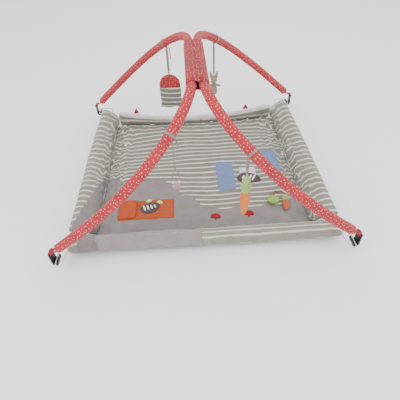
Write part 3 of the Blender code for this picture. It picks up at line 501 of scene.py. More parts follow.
def side_jersey(name):
    """Striped across, with the plain front panel running on over the left wall's inner face, and painted
    shade along the bottoms of the folds beside its seam.
    """
    paint = jersey(name)
    x, y, _ = paint.axes()
    out = abs(x) - SEAM_X
    near = 1 - out.step(0.0, 0.050)
    folds = seam_folds(paint, near)
    along = drawn_out(y + out * 0.20 + folds * 0.046, 0.80)
    edge = y - (out * -4.8 - 0.045)
    left = 1 - x.past()
    # painted light: the side wall's grey lifted to 1.27 times the floor's, though it is the same jersey
    base = paint.mix((1 - edge.past()) * left, striped(paint, along, 0.014, 1.27), plain_jersey(paint))
    # painted shade: dark jersey along the bottoms of the folds
    base = paint.mix(fold_lines(folds, near) * 0.5, base, (0.11, 0.10, 0.09))
    paint.colour(paint.mix(edge.line(0.0010, 0.0030) * left * 0.45, base, SEAM_TAUPE))
    knit_bump(paint, 1.4, folds * 9.0)
    return paint.material


# Front wall: its middle seam, its left corner seam and the tip of its rounded panel
FRONT_SEAM_X = -0.012
FRONT_CORNER_X = -0.392
PANEL_TIP_X = -0.345
PANEL_TIP_ACROSS = 0.375
PANEL_BEND = 14.0


def front_jersey(name):
    """Plain in the left half, striped lengthwise on the right and at the left corner."""
    paint = jersey(name)
    x, y, z = paint.axes()
    across = z * 0.35 - y
    below = across - PANEL_TIP_ACROSS
    round_end = x - PANEL_TIP_X - below * below * PANEL_BEND
    left = 1 - (x - FRONT_SEAM_X).past()
    panel = round_end.past() * left
    # painted light: the front wall's grey lifted to 1.40 times the floor's, though it is the same jersey
    base = striped(paint, across + 0.006, 0.008, 1.40)
    base = paint.mix((x - FRONT_CORNER_X).past() * left, base, plain_jersey(paint))
    # painted light: the plain panel is the plain jersey lifted to 1.38
    base = paint.mix(panel, base, paint.worn(toned(colours().plain_taupe, 1.38), 0.06))
    seam = round_end.line(0.0010, 0.0026).most((x - FRONT_SEAM_X).line(0.0006, 0.0018))
    base = paint.mix(seam * 0.5, base, SEAM_TAUPE)
    lower = stitches(across, x, 0.372, 0.026, 0.0035)
    upper = stitches(across, x, 0.347, 0.033, 0.0030)
    paint.colour(paint.mix(lower.most(upper) * panel * 0.22, base, (0.56, 0.53, 0.51)))
    knit_bump(paint, 1.2)
    return paint.material


def rear_jersey(name):
    """Striped inner face, with the pale lining turned over the rim and down the back."""
    paint = jersey(name)
    x, y, z = paint.axes()
    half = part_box("wall_rear")[1].x
    slump = 1 - x * x / (half * half)
    rim = z - 0.068 + slump * 0.026
    back = y - REAR_SEAM_Y + 0.009 + z * slump * 0.53
    # painted light: the rear wall's grey lifted to 1.25 times the floor's, though it is the same jersey
    stripes = striped(paint, z * 0.62 + x * 0.01 + 0.010, 0.012, 1.25)
    lining = paint.worn(colours().lining, 0.04)
    paint.colour(paint.mix(rim.past(0.0015).most(back.past(0.0015)), stripes, lining))
    knit_bump(paint, 1.3)
    return paint.material


def plain_cotton(name, colour, fade=0.08, roughness=0.88):
    paint = Paint(name, roughness, 0.06)
    paint.colour(paint.worn(colour, fade))
    threads = paint.weave(0.0011) * 0.3 + paint.noise(420.0, 2.0) * 0.4
    paint.bump(threads + paint.noise(70.0, 3.0), 0.0007, 0.5)
    return paint.material


def flap_cotton(name):
    """Orange cotton of the crinkle flap, the apple's ribbon and the pouch's loop."""
    return plain_cotton(name, ORANGE, 0.12, 0.7)


def lining_bump(paint):
    paint.bump(paint.weave(0.0012) * 0.3 + paint.noise(45.0, 3.0) * 1.6, 0.0008, 0.5)


def lining_cotton(name):
    paint = Paint(name, 0.9, 0.2)
    paint.colour(paint.worn(colours().lining, 0.05, 18.0))
    lining_bump(paint)
    return paint.material


def backing_cotton(name):
    """Pale cotton below, with the floor's jersey showing above in the seams round the padding, its grey
    darkened there as painted shade.
    """
    paint = Paint(name, 0.9, 0.1)
    upward = paint.axes(paint.node("ShaderNodeNewGeometry", output="Normal", vector=True))[2]
    inside = 1 - (paint.axes()[1] - REAR_SEAM_Y + 0.012).step(0.0, 0.001)
    # painted shade: the jersey grey in the seams darkened to 0.8 for the shade in the creases
    crease = toned(colours().stripe_grey, 0.8)
    paint.colour(paint.mix(upward.step(0.4, 0.8) * inside, paint.worn(colours().lining, 0.05, 18.0), crease))
    lining_bump(paint)
    return paint.material


def pouch_jersey(name):
    """Striped jersey of the pouch, with its stripes a little slanted."""
    paint = jersey(name)
    x, _, z = paint.axes()
    phase = abs(((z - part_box("pouch_body")[0].z + x * 0.08) / 0.0215 + 0.52) % 1.0 - 0.5)
    cream = 1 - phase.step(0.11, 0.17)
    grey = paint.worn(colours().stripe_grey, 0.08)
    paint.colour(paint.mix(cream, grey, paint.worn(colours().stripe_cream, 0.05)))
    knit_bump(paint, 0.8)
    return paint.material


def speckled_linen(name):
    paint = Paint(name, 0.93, 0.08)
    speck = paint.noise(420.0, 1.0).step(0.56, 0.62)
    pale = paint.noise(300.0, 1.0, stretch=(1, 1, 2.2)).step(0.58, 0.66)
    base = paint.mix(speck, paint.worn((0.34, 0.29, 0.19), 0.12), (0.14, 0.11, 0.07))
    paint.colour(paint.mix(pale * 0.7, base, (0.55, 0.50, 0.38)))
    paint.bump(paint.weave(0.0012) * 0.4 + paint.noise(500.0, 2.0) * 0.7, 0.0006, 0.6)
    return paint.material


def speckled_white(name):
    paint = Paint(name, 0.9, 0.2)
    speck = paint.noise(260.0, 1.0).step(0.60, 0.66)
    paint.colour(paint.mix(speck, paint.worn((0.62, 0.60, 0.61), 0.05), (0.34, 0.32, 0.34)))
    paint.bump(paint.weave(0.0011) * 0.3 + paint.noise(300.0, 2.0) * 0.4, 0.0006, 0.5)
    return paint.material


def ribbed_ribbon(name):
    paint = Paint(name, 0.75, 0.15)
    ribs = (paint.axes()[2] * (2 * math.pi / 0.0011)).sine()
    dark = paint.worn((0.20, 0.17, 0.15), 0.1)
    paint.colour(paint.mix(ribs.step(-0.6, 0.8), dark, paint.worn((0.30, 0.26, 0.235), 0.1)))
    paint.bump(ribs * 0.5 + paint.noise(400.0, 2.0) * 0.3, 0.0003, 0.6)
    return paint.material


def moulded_plastic(name):
    paint = Paint(name, 0.42, gloss=0.5)
    grain = paint.noise(1100.0, 2.0)
    scuff = paint.noise(60.0, 4.0, stretch=(1, 1, 5)).step(0.60, 0.72)
    paint.colour(paint.mix(scuff * 0.35, (0.012, 0.012, 0.013), (0.05, 0.048, 0.047)))
    rough = grain * 0.12 + scuff * 0.12 + 0.34
    paint.tree.links.new(rough.socket, paint.shader.inputs["Roughness"])
    paint.bump(grain, 0.00012, 0.5)
    return paint.material


def drawn_fibre(name):
    """Long-grained glass-fibre rod."""
    paint = Paint(name, 0.4)
    grain = paint.noise(700.0, 2.0, stretch=(1, 0.05, 1))
    paint.colour(paint.mix(grain, (0.50, 0.50, 0.47), (0.62, 0.61, 0.57)))
    paint.bump(grain, 0.0001, 0.5)
    return paint.material


def wood_grain(paint):
    """Grain along Z, raised a little; returns its value for the colour."""
    grain = paint.noise(160.0, 4.0, stretch=(6, 6, 1))
    paint.bump(grain, 0.0002, 0.4)
    return grain


def painted_wood(name, colour):
    paint = Paint(name, 0.45, gloss=0.5)
    paint.colour(paint.mix(wood_grain(paint).step(0.35, 0.7), toned(colour, 0.9), colour))
    return paint.material


def pendant_wood(name):
    """Pink disc with a small red ring."""
    paint = Paint(name, 0.45)
    middle = middle_of("bead_pendant")
    x, _, z = paint.axes()
    dx = x - middle.x
    dz = z - middle.z
    ring = ((dx * dx + dz * dz).root() - 0.0045).line(0.0012, 0.0020)
    base = paint.mix(wood_grain(paint), (0.36, 0.26, 0.27), (0.46, 0.36, 0.37))
    paint.colour(paint.mix(ring, base, (0.50, 0.12, 0.13)))
    return paint.material


def motif_cotton(name, middle, ground, bars):
    """Dark brushed cotton with cream bars sewn on; bars lists their places, radii and slant."""
    paint = Paint(name, 0.9, 0.10)
    x, y, _ = paint.axes()
    base = paint.worn(ground, 0.2, 120.0)
    for (across, along), (wide, deep), turn in bars:
        dx = x - (middle.x + across)
        dy = y - (middle.y + along)
        u = (dx * math.cos(turn) + dy * math.sin(turn)) / wide
        v = (dy * math.cos(turn) - dx * math.sin(turn)) / deep
        distance = (u * u + v * v).root()
        base = paint.mix(1 - distance.step(0.97, 1.03), base, paint.worn(CREAM, 0.06))
        base = paint.mix((distance - 0.86).line(0.02, 0.05) * 0.5, base, toned(CREAM, 0.55))
    paint.colour(base)
    paint.bump(paint.noise(700.0, 3.0) + paint.weave(0.001) * 0.2, 0.0008, 0.7)
    return paint.material


# Mesh helpers


def linked(name, data):
    """New object in the scene."""
    made = bpy.data.objects.new(name, data)
    bpy.context.scene.collection.objects.link(made)
    return made


def put(name, mesh, body, material, node=None):
    """New piece on a body, standing for a node where one is named."""
    mesh.name = name
    piece = linked(name, mesh)
    mesh.materials.clear()
    mesh.materials.append(material)
    mesh.shade_smooth()
    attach(piece, body)
    if node:
        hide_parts(node)
    return piece


def evaluated(piece):
    graph = bpy.context.evaluated_depsgraph_get()
    graph.update()
    return bpy.data.meshes.new_from_object(piece.evaluated_get(graph))


def closed(work):
    """Mesh of finished work, with its faces turned outwards."""
    bmesh.ops.recalc_face_normals(work, faces=work.faces)
    mesh = bpy.data.meshes.new("work")
    work.to_mesh(mesh)
    work.free()
    return mesh


def welded_copy(node):
    """Copy of a node's mesh with its split corners joined again."""
    work = bmesh.new()
    work.from_mesh(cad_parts[node].data)
    bmesh.ops.remove_doubles(work, verts=work.verts, dist=0.00001)
    return closed(work)


def changed(mesh, kind, **settings):
    """Mesh after one modifier."""
    holder = linked("work", mesh)
    modifier = holder.modifiers.new("change", kind)
    for name, value in settings.items():
        setattr(modifier, name, value)
    result = evaluated(holder)
    bpy.data.objects.remove(holder, do_unlink=True)
    bpy.data.meshes.remove(mesh)
    return result


def remeshed(node, voxel, rounds):
    mesh = changed(welded_copy(node), "REMESH", mode="VOXEL", voxel_size=voxel)
    return changed(mesh, "SMOOTH", factor=0.5, iterations=rounds)


def moved(mesh, move):
    """Moves each vertex by what a function of its place and normal returns."""
    normals = [vertex.normal.copy() for vertex in mesh.vertices]
    for vertex, normal in zip(mesh.vertices, normals):
        vertex.co += move(vertex.co.copy(), normal)
    mesh.update()
    return mesh


CLOTH_FRAMES = 20


def inflated(mesh, pressure, cap, held_below=0.0):
    """Mesh blown up as cloth, held below a level and moved by the cap at most."""
    scene = bpy.context.scene
    holder = linked("work", mesh)
    held = holder.vertex_groups.new(name="held")
    start = [vertex.co.copy() for vertex in mesh.vertices]
    low = [vertex.index for vertex in mesh.vertices if vertex.co.z < held_below]
    held.add(low, 1.0, "REPLACE")
    cloth = holder.modifiers.new("cloth", "CLOTH")
    settings = cloth.settings
    settings.use_pressure = True
    settings.uniform_pressure_force = pressure
    settings.effector_weights.gravity = 0
    settings.vertex_group_mass = "held"
    settings.quality = 4
    settings.tension_stiffness = 12
    settings.bending_stiffness = 0.3
    settings.shrink_min = -0.025
    cloth.collision_settings.use_collision = False
    for number in range(1, CLOTH_FRAMES + 1):
        scene.frame_set(number)
    result = evaluated(holder)
    ends = [vertex.co.copy() for vertex in result.vertices]
    bpy.data.meshes.remove(result)
    bpy.data.objects.remove(holder, do_unlink=True)
    scene.frame_set(1)
    for vertex, begin, end in zip(mesh.vertices, start, ends):
        change = end - begin
        if change.length > cap:
            change = change * (cap / change.length)
        vertex.co = begin + change
    mesh.update()
    return mesh


def face(work, corners, places=()):
    """Face through the corners, with their places on the cloth laid flat where these are given."""
    made = work.faces.new(corners)
    for corner, place in zip(made.loops, places):
        corner[work.loops.layers.uv["flat"]].uv = place


def band(work, low, high, flat=None):
    """Faces between two rings; flat gives their girth step and the place along of each."""
    count = len(low)
    for i in range(count):
        j = (i + 1) % count
        places = ()
        if flat:
            step, near, far = flat
            places = ((i * step, near), ((i + 1) * step, near), ((i + 1) * step, far), (i * step, far))
        face(work, (low[i], low[j], high[j], high[i]), places)


def fan(work, ring, tip, flat=None):
    """Faces from a ring to its tip; flat gives the ring's girth step and its place along."""
    count = len(ring)
    for i in range(count):
        places = ()
        if flat:
            step, near = flat
            places = ((i * step, near), ((i + 1) * step, near), (i * step, near + 0.004))
        face(work, (ring[i], ring[(i + 1) % count], tip), places)


def skin(rings, flat=None):
    """Closed surface through rings of points; flat gives their girth step and places along."""
    work = bmesh.new()
    if flat:
        work.loops.layers.uv.new("flat")
    loops = [[work.verts.new(point) for point in ring] for ring in rings]
    for index, (low, high) in enumerate(zip(loops, loops[1:])):
        band(work, low, high, flat and (flat[0], flat[1][index], flat[1][index + 1]))
    for end in (0, -1):
        centre = sum((vert.co for vert in loops[end]), Vector()) / len(rings[0])
        fan(work, loops[end], work.verts.new(centre), flat and (flat[0], flat[1][end]))
    return closed(work)


def wander(point, scale, seed):
    """Smooth value from about -1 to 1 that changes with place."""
    return noise.noise(point * scale + Vector((seed, seed * 0.7, seed * 1.3)))


def ridged(point, scale, seed):
    """Value from 0 to 1 with sharp crests, as creases have."""
    return (1 - min(1.0, abs(wander(point, scale, seed)) * 2.2)) ** 2


def sunk(low, high, value):
    """0 below low, 1 above high, smooth between."""
    share = max(0.0, min(1.0, (value - low) / (high - low)))
    return share * share * (3 - 2 * share)


def bell(distance, width):
    """1 at no distance, falling off smoothly over the width."""
    return math.exp(-((distance / width) ** 2))


class GymOperator(bpy.types.Operator):
    """Base of the piece makers."""

    bl_options = {"REGISTER", "UNDO"}


# Stage

CAMERA_PLACE = Vector((-0.0315, -1.0673, 0.8769))
CAMERA_FORWARD = Vector((0.0199, 0.7168, -0.6970))
CAMERA_ROLL = -0.0411
FOCAL_PIXELS = 347.44
FRAME_PIXELS = 400
SENSOR = 36.0
AIR_COLOUR = (0.98, 0.985, 1.0, 1)
AIR_STRENGTH = 1.41
PAPER_WHITE = (0.95, 0.95, 0.955)
PAPER_HALF = 14.0
LAMP_AIM = Vector((0, 0, 0.15))
LAMPS = (
    ("soft_key", (-1.2, -1.6, 2.6), 2.4, 58.0),
    ("soft_fill", (1.9, -0.6, 2.2), 2.2, 27.0),
    ("soft_back", (0.2, 2.2, 2.4), 2.2, 22.0),
)


class GYM_OT_stage(GymOperator):
    """Floor, lights and camera."""

    bl_idname = "gym.stage"
    bl_label = "Stage"

    def execute(self, context):
        self.make_camera()
        self.make_floor()
        self.make_lights()
        return {"FINISHED"}

    def make_camera(self):
        data = bpy.data.cameras.new("camera")
        data.sensor_width = SENSOR
        data.lens = FOCAL_PIXELS / FRAME_PIXELS * SENSOR
        camera = linked("camera", data)
        forward = CAMERA_FORWARD.normalized()
        right = forward.cross(Vector((0, 0, 1))).normalized()
        up = right.cross(forward)
        across = right * math.cos(CAMERA_ROLL) + up * math.sin(CAMERA_ROLL)
        above = up * math.cos(CAMERA_ROLL) - right * math.sin(CAMERA_ROLL)
        turn = Matrix((across, above, -forward)).transposed().to_4x4()
        camera.matrix_world = Matrix.Translation(CAMERA_PLACE) @ turn
        bpy.context.scene.camera = camera

    def make_floor(self):
        mesh = bpy.data.meshes.new("studio_floor")
        corners = [(x * PAPER_HALF, y * PAPER_HALF, 0) for x, y in ((-1, -1), (1, -1), (1, 1), (-1, 1))]
        mesh.from_pydata(corners, [], [(0, 1, 2, 3)])
        floor = linked("studio_floor", mesh)
        paint = Paint("studio_paper", 0.95, gloss=0.1)
        paint.colour(PAPER_WHITE)
        mesh.materials.append(paint.material)

    def make_lights(self):
        world = bpy.data.worlds.new("studio_air")
        world.use_nodes = True
        air = world.node_tree.nodes["Background"].inputs
        air["Color"].default_value = AIR_COLOUR
        air["Strength"].default_value = AIR_STRENGTH
        bpy.context.scene.world = world
        for name, place, size, energy in LAMPS:
            data = bpy.data.lights.new(name, "AREA")
            data.size = size
            data.energy = energy
            lamp = linked(name, data)
            lamp.rotation_euler = (LAMP_AIM - Vector(place)).to_track_quat("-Z", "Y").to_euler()
            lamp.location = place


# Mat

SEAM_SPREAD = 0.0110
REAR_SPREAD = 0.0110
REAR_RISE = 0.0090
SEAM_TUCK = 0.0030

LOOSE = [
    (middle_of(node), max(size_of(node).x, size_of(node).y) / 2 + 0.02)
    for node in ("apple", "small_carrot_leaf", "small_carrot_root", "lift_flap")
]


def keep_out(point):
    """1 near the loose toys on the floor, where the padding may not rise into them."""
    grip = 0.0
    for middle, reach in LOOSE:
        distance = math.hypot(point.x - middle.x, point.y - middle.y)
        grip = max(grip, 1 - sunk(reach * 0.8, reach * 1.5, distance))
    return grip


class GYM_OT_mat_floor(GymOperator):
    """Padded floor of the mat and its cotton backing."""

    bl_idname = "gym.mat_floor"
    bl_label = "Mat floor"

    def execute(self, context):
        mesh = remeshed("floor_pad", 0.006, 2)
        mesh = inflated(mesh, 4.0, 0.0035, SEAM_LEVEL + 0.002)
        mesh = moved(changed(mesh, "SMOOTH", factor=0.4, iterations=2), self.crease)
        put("padded_floor", mesh, "mat", finish(floor_jersey), "floor_pad")
        mesh = changed(remeshed("mat_backing", 0.0032, 1), "DECIMATE", ratio=0.25)
        put("cotton_backing", mesh, "mat", finish(backing_cotton), "mat_backing")
        return {"FINISHED"}

    def crease(self, point, normal):
        """Creases of the upper side, which also spreads out into the seams and rises at the rear."""
        if point.z < SEAM_LEVEL + 0.003:
            return Vector()
        side = sunk(0.22, 0.345, abs(point.x))
        rear = sunk(0.12, 0.32, point.y)
        front = sunk(0.22, 0.31, -point.y)
        deep = ridged(Vector((point.x * 0.30, point.y, point.z)), 26.0, 3.0) * side
        long = ridged(Vector((point.x, point.y * 0.45, 0)), 9.0, 7.0)
        soft = wander(point, 11.0, 2.0) * 0.25
        drop = deep * 1.1 + (0.18 + 0.35 * max(rear, front)) * long + soft
        rim = sunk(0.0, 0.012, point.z - SEAM_LEVEL)
        lift = -sizes().wrinkle * drop * rim * (1 - 0.85 * keep_out(point))
        rise = REAR_RISE * sunk(FLOOR_HIGH.y - 0.045, FLOOR_HIGH.y, point.y)
        top = FLOOR_LEVEL + 0.0008 * (1 - keep_out(point)) - 0.0003
        half = FLOOR_HIGH.x
        out_x = math.copysign(SEAM_SPREAD * sunk(half - 0.020, half - 0.002, abs(point.x)), point.x)
        out_y = REAR_SPREAD * sunk(FLOOR_HIGH.y - 0.025, FLOOR_HIGH.y - 0.002, point.y)
        out_y -= SEAM_SPREAD * sunk(-FLOOR_LOW.y - 0.020, -FLOOR_LOW.y - 0.002, -point.y)
        return Vector((out_x, out_y, min(lift, top - point.z) + rise * rim))


def wall_shape(node, inward, crease_scale, seed):
    """Padded wall with gathers that run out of its seam and shallow creases over its rim."""
    mesh = remeshed(node, 0.0055, 2)
    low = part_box(node)[0]
    sideways = inward.x != 0

    def overhang(point, normal):
        """Lean of a side wall's front end over the roll in front of it."""
        near = 1 - sunk(0.0, 0.10, point.y - low.y)
        return Vector((0, (-0.0065 - 0.40 * max(0.0, point.z - 0.014)) * near, 0))

    if sideways:
        mesh = moved(mesh, overhang)
    mesh = inflated(mesh, 4.0, 0.004, low.z + 0.006)
    mesh = changed(mesh, "SMOOTH", factor=0.4, iterations=2)
    depth = sizes().wrinkle * crease_scale

    def crease(point, normal):
        out, along = point.xy if sideways else point.yx
        gather = ridged(Vector((along, out * 0.22, point.z * 0.22)), 30.0, seed)
        near_seam = 1 - sunk(0.010, 0.055, point.z)
        fine = ridged(Vector((along, out * 0.5, point.z * 0.5)), 62.0, seed + 2) * near_seam
        wide = wander(Vector((along, out * 0.3, point.z * 0.3)), 14.0, seed + 5)
        fold = gather * (0.25 + 0.9 * near_seam) + fine * 0.5
        tuck = inward * (SEAM_TUCK * (1 - sunk(0.006, 0.030, point.z)))
        return normal * (-depth * fold + depth * 0.35 * wide) + tuck

    return moved(mesh, crease)


class GYM_OT_mat_walls(GymOperator):
    """Four padded walls and the two red tabs on the rear one."""

    bl_idname = "gym.mat_walls"
    bl_label = "Mat walls"

    def execute(self, context):
        for label, inward, crease_scale, seed, cloth, slot, softness in (
            ("left", (1, 0, 0), 1.0, 0.0, side_jersey, "striped_jersey", 0.6),
            ("right", (-1, 0, 0), 1.0, 4.0, side_jersey, "striped_jersey", 0.6),
            ("front", (0, 1, 0), 0.7, 9.0, front_jersey, "grey_jersey", 0.6),
            ("rear", (0, -1, 0), 0.8, 13.0, rear_jersey, "striped_jersey", 0.35),
        ):
            node = f"wall_{label}"
            mesh = wall_shape(node, Vector(inward), crease_scale, seed)
            put(f"{label}_roll", mesh, node, finish(cloth), node)
        for label in SIDES:
            node = f"rear_tab_{label}"
            mesh = remeshed(node, 0.0008, 3)
            put(f"{label}_red_tab", mesh, "wall_rear", finish(spotted_cotton), node)
        return {"FINISHED"}


def floor_tree():
    """Search tree of the padded floor, to lay the sewn pieces on."""
    work = bmesh.new()
    work.from_mesh(bpy.data.objects["padded_floor"].data)
    tree = BVHTree.FromBMesh(work)
    work.free()
    return tree


def laid(outline, middle, thickness, tree, lift=0.0, rows=9):
    """Cloth shape laid on the padded floor: a rounded upper side, and a lower side level with the padding."""

    def level(x, y):
        hit = tree.ray_cast(Vector((x, y, 0.2)), Vector((0, 0, -1)))[0]
        if hit is None:
            raise RuntimeError("a sewn piece lies off the padded floor")
        return hit.z + lift

    work = bmesh.new()
    rings = []
    for row in range(1, rows + 1):
        share = (row / rows) ** 0.8
        edge = max(0.0, (share - 0.90) / 0.10)
        height = thickness * math.sqrt(max(0.0, 1 - edge * edge)) + 0.0003
        ring = []
        for x, y in outline:
            px = middle[0] + (x - middle[0]) * share
            py = middle[1] + (y - middle[1]) * share
            ring.append(work.verts.new((px, py, level(px, py) + height)))
        rings.append(ring)
    centre = work.verts.new((*middle, level(*middle) + thickness))
    under = [work.verts.new((vert.co.x, vert.co.y, vert.co.z - 0.0006)) for vert in rings[-1]]
    base = work.verts.new((*middle, level(*middle) - 0.0008))
    for low, high in zip(rings, rings[1:] + [under]):
        band(work, low, high)
    fan(work, rings[0], centre)
    fan(work, under, base)
    return closed(work)


EDGE_STEPS = 14


def rounded_box(low, high, corner=0.003, wave=0.0, seed=0.0):
    """Outline of a rectangle with small round corners and a slightly wavy edge."""
    corners = (
        (high[0] - corner, high[1] - corner),
        (low[0] + corner, high[1] - corner),
        (low[0] + corner, low[1] + corner),
        (high[0] - corner, low[1] + corner),
    )

    def on_corner(index, degrees):
        x, y = corners[index % 4]
        turn = math.radians(90 * index + degrees)
        return Vector((x + corner * math.cos(turn), y + corner * math.sin(turn), 0))

    points = []
    for index in range(4):
        points += [on_corner(index, 30 * k) for k in range(4)]
        begin = points[-1]
        end = on_corner(index + 1, 0)
        points += [begin.lerp(end, k / EDGE_STEPS) for k in range(1, EDGE_STEPS)]
    shifts = [wander(point, 70.0, seed) * wave for point in points]
    return [(point.x + shift, point.y + shift * 0.6) for point, shift in zip(points, shifts)]


def oval(middle, radii, turn, count=48, wave=0.0, seed=0.0):
    """Outline of an oval with a slightly swelling edge."""
    points = []
    for k in range(count):
        angle = 2 * math.pi * k / count
        swell = 1 + wave * math.sin(3 * angle + seed) + wave * 0.6 * math.sin(5 * angle + 2 * seed)
        x = radii[0] * math.cos(angle) * swell
        y = radii[1] * math.sin(angle) * swell
        across = x * math.cos(turn) - y * math.sin(turn)
        along = x * math.sin(turn) + y * math.cos(turn)
        points.append((middle[0] + across, middle[1] + along))
    return points


# Right half of a toadstool's stalk and curled lower edge, in cap radii
TOADSTOOL_FOOT = ((0.08, -0.60), (0.14, -0.44), (0.22, -0.20), (0.36, -0.22), (0.62, -0.28), (0.90, -0.20))


def toadstool(middle, size):
    """Cap with a curled lower edge and a short stalk."""
    angles = [math.pi * k / 16 for k in range(17)]
    outline = [(math.cos(angle), 0.80 * math.sin(angle) ** 0.8) for angle in angles]
    outline += [(-x, y) for x, y in reversed(TOADSTOOL_FOOT)]
    outline += TOADSTOOL_FOOT
    return [(middle[0] + x * size, middle[1] + y * size) for x, y in outline]


def slanted_bars(start, pitch, radii, narrowing, turn):
    """Four cream bars of a motif, each a pitch on from the last one and a little shorter."""
    bars = []
    for k in range(4):
        place = (start[0] + pitch[0] * k, start[1] + pitch[1] * k)
        bars.append((place, (radii[0], radii[1] - narrowing * k), turn))
    return bars


PANEL_HALF_WIDTH = 0.030
PANEL_HALF_DEPTH = 0.034


class GYM_OT_sewn_pieces(GymOperator):
    """Flat cloth shapes sewn on the mat's floor."""

    bl_idname = "gym.sewn_pieces"
    bl_label = "Sewn pieces"

    def execute(self, context):
        tree = floor_tree()
        orange = finish(plain_cotton, "orange_cotton", DEEP_ORANGE, 0.1)
        self.patch("orange_panel", "orange_patch", tree, orange, "orange_cotton", 0.0014)
        for label in SIDES:
            blue = finish(plain_cotton, "blue_cotton", SKY_BLUE, 0.06)
            self.patch(f"blue_panel_{label}", f"blue_patch_{label}", tree, blue, "blue_cotton", 0.0013)
        self.make_left_motif(tree)
        self.make_right_motif(tree)
        for label in SIDES:
            node = f"toadstool_{label}"
            low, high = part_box(node)
            size = (high.x - low.x) / 2
            middle = ((low.x + high.x) / 2, high.y - size)
            mesh = laid(toadstool(middle, size), (middle[0], middle[1] + size * 0.2), 0.0022, tree)
            material = finish(plain_cotton, "toadstool_cotton", TOADSTOOL_RED, 0.12)
            put(f"red_toadstool_{label}", mesh, "mat", material, node)
        return {"FINISHED"}

    def patch(self, name, node, tree, material, slot, thickness):
        low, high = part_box(node)
        outline = rounded_box(low, high, 0.004, wave=0.0012, seed=low.x * 50)
        mesh = laid(outline, ((low.x + high.x) / 2, (low.y + high.y) / 2), thickness, tree)
        put(name, mesh, "mat", material, node)

    def make_left_motif(self, tree):
        middle = middle_of("left_motif")
        bars = slanted_bars((-0.018, -0.002), (0.012, 0.002), (0.0032, 0.014), 0.002, 0.35)
        material = finish(motif_cotton, "left_motif_cotton", middle, (0.075, 0.05, 0.05), bars)
        shape = oval(middle, (0.035, 0.026), 0.3, wave=0.03, seed=0.4)
        mesh = laid(shape, middle.xy, 0.0042, tree, 0.0010)
        put("left_round_motif", mesh, "mat", material, "left_motif")
        leaf = finish(plain_cotton, "lime_cotton", LIME_GREEN)
        for number, (across, along, turn) in enumerate(((-0.004, 0.036, 0.5), (0.034, 0.026, -0.5)), 1):
            place = (middle.x + across, middle.y + along)
            mesh = laid(oval(place, (0.011, 0.0075), turn, 24), place, 0.0022, tree, 0.0012, 5)
            put(f"lime_leaf_{number}", mesh, "mat", leaf)

    def make_right_motif(self, tree):
        middle = middle_of("right_motif")
        x = middle.x + 0.002
        y = middle.y + 0.030
        low = (x - PANEL_HALF_WIDTH, y - PANEL_HALF_DEPTH)
        high = (x + PANEL_HALF_WIDTH, y + PANEL_HALF_DEPTH)
        mesh = laid(rounded_box(low, high), (x, y), 0.001, tree)
        white = finish(speckled_white, "speckled_white_cotton")
        put("speckled_panel", mesh, "mat", white)
        bars = slanted_bars((0.020, 0.0), (-0.013, 0.001), (0.0036, 0.019), 0.003, -0.5)
        material = finish(motif_cotton, "right_motif_cotton", middle, (0.07, 0.05, 0.05), bars)
        shape = oval(middle, (0.044, 0.030), -0.2, wave=0.05, seed=1.9)
        mesh = laid(shape, middle.xy, 0.0028, tree, 0.0008)
        put("right_round_motif", mesh, "mat", material, "right_motif")


class GYM_OT_loose_shapes(GymOperator):
    """Crinkle flap, apple and small carrot that lift from the floor, and the apple's ribbon."""

    bl_idname = "gym.loose_shapes"
    bl_label = "Loose shapes"

    def execute(self, context):
        low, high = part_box("lift_flap")

        def crumple(point, normal):
            out = (point.x - low.x) / (high.x - low.x)
            creases = 0.0009 * wander(point, 60.0, 2.0) - 0.0016 * ridged(point, 75.0, 4.0)
            return normal * (creases * out)

        mesh = moved(remeshed("lift_flap", 0.0017, 2), crumple)
        put("crinkle_flap", mesh, "lift_flap", finish(flap_cotton), "lift_flap")
        for name, node, body, colour, slot in (
            ("plush_apple", "apple", "apple", APPLE_GREEN, "green_cotton"),
            ("small_carrot_top", "small_carrot_leaf", "small_carrot", LEAF_GREEN, "green_cotton"),
            ("small_carrot_body", "small_carrot_root", "small_carrot", BROWN_ORANGE, "terracotta_cotton"),
        ):
            mesh = remeshed(node, 0.0016, 3)
            if node == "apple":
                mesh = moved(mesh, self.pinch_apple)
            mesh = moved(mesh, lambda point, normal: normal * (0.0005 * wander(point, 160.0, 6.0) + 0.0003))
            put(name, mesh, body, finish(plain_cotton, f"{name}_cotton", colour, 0.12), node)
        mesh = remeshed("apple_ribbon", 0.0009, 2)
        put("orange_loop", mesh, "mat", finish(flap_cotton), "apple_ribbon")
        return {"FINISHED"}

    def pinch_apple(self, point, normal):
        """Dimple at the top, with seven folds that run out of it."""
        out = point - middle_of("apple")
        distance = math.hypot(out.x, out.y)
        dimple = bell(distance, 0.006) * 0.0035 if normal.z > 0 else 0
        folds = math.sin(math.atan2(out.y, out.x) * 7) * 0.0006 * bell(distance - 0.008, 0.007)
        return Vector((0, 0, -dimple)) + normal * folds


# Sleeves: the same line as the frame's, from its ends and its straight length

SLEEVE_RADIUS = 0.0145
SLEEVE_SIDES = 40
SLEEVE_SPACING = 0.0055
SLEEVE_SEAM_TURN = math.radians(255)
SLEEVE_SEAM_GIRTH = 0.0640
HUB_STRAIGHT = 0.28
BEND_FADE = 0.8
ARCH_END = Vector((0.4273, 0.4275, 0.09507))
HUB_PLACE = Vector((0.0155, 0.0, 0.44507))


def leg_lean(end_angle, share):
    """Angle of a leg's line at a share of its length."""
    return end_angle * (1 - (1 - share) ** (BEND_FADE + 1))


def leg_sums(end_angle, share, steps=160):
    """How far a leg has run along the hub and reached out and down, in leg lengths."""
    run = 0.0
    reach = 0.0
    for k in range(steps):
        angle = leg_lean(end_angle, share * (k + 0.5) / steps)
        run += math.cos(angle) * share / steps
        reach += math.sin(angle) * share / steps
    return run, reach


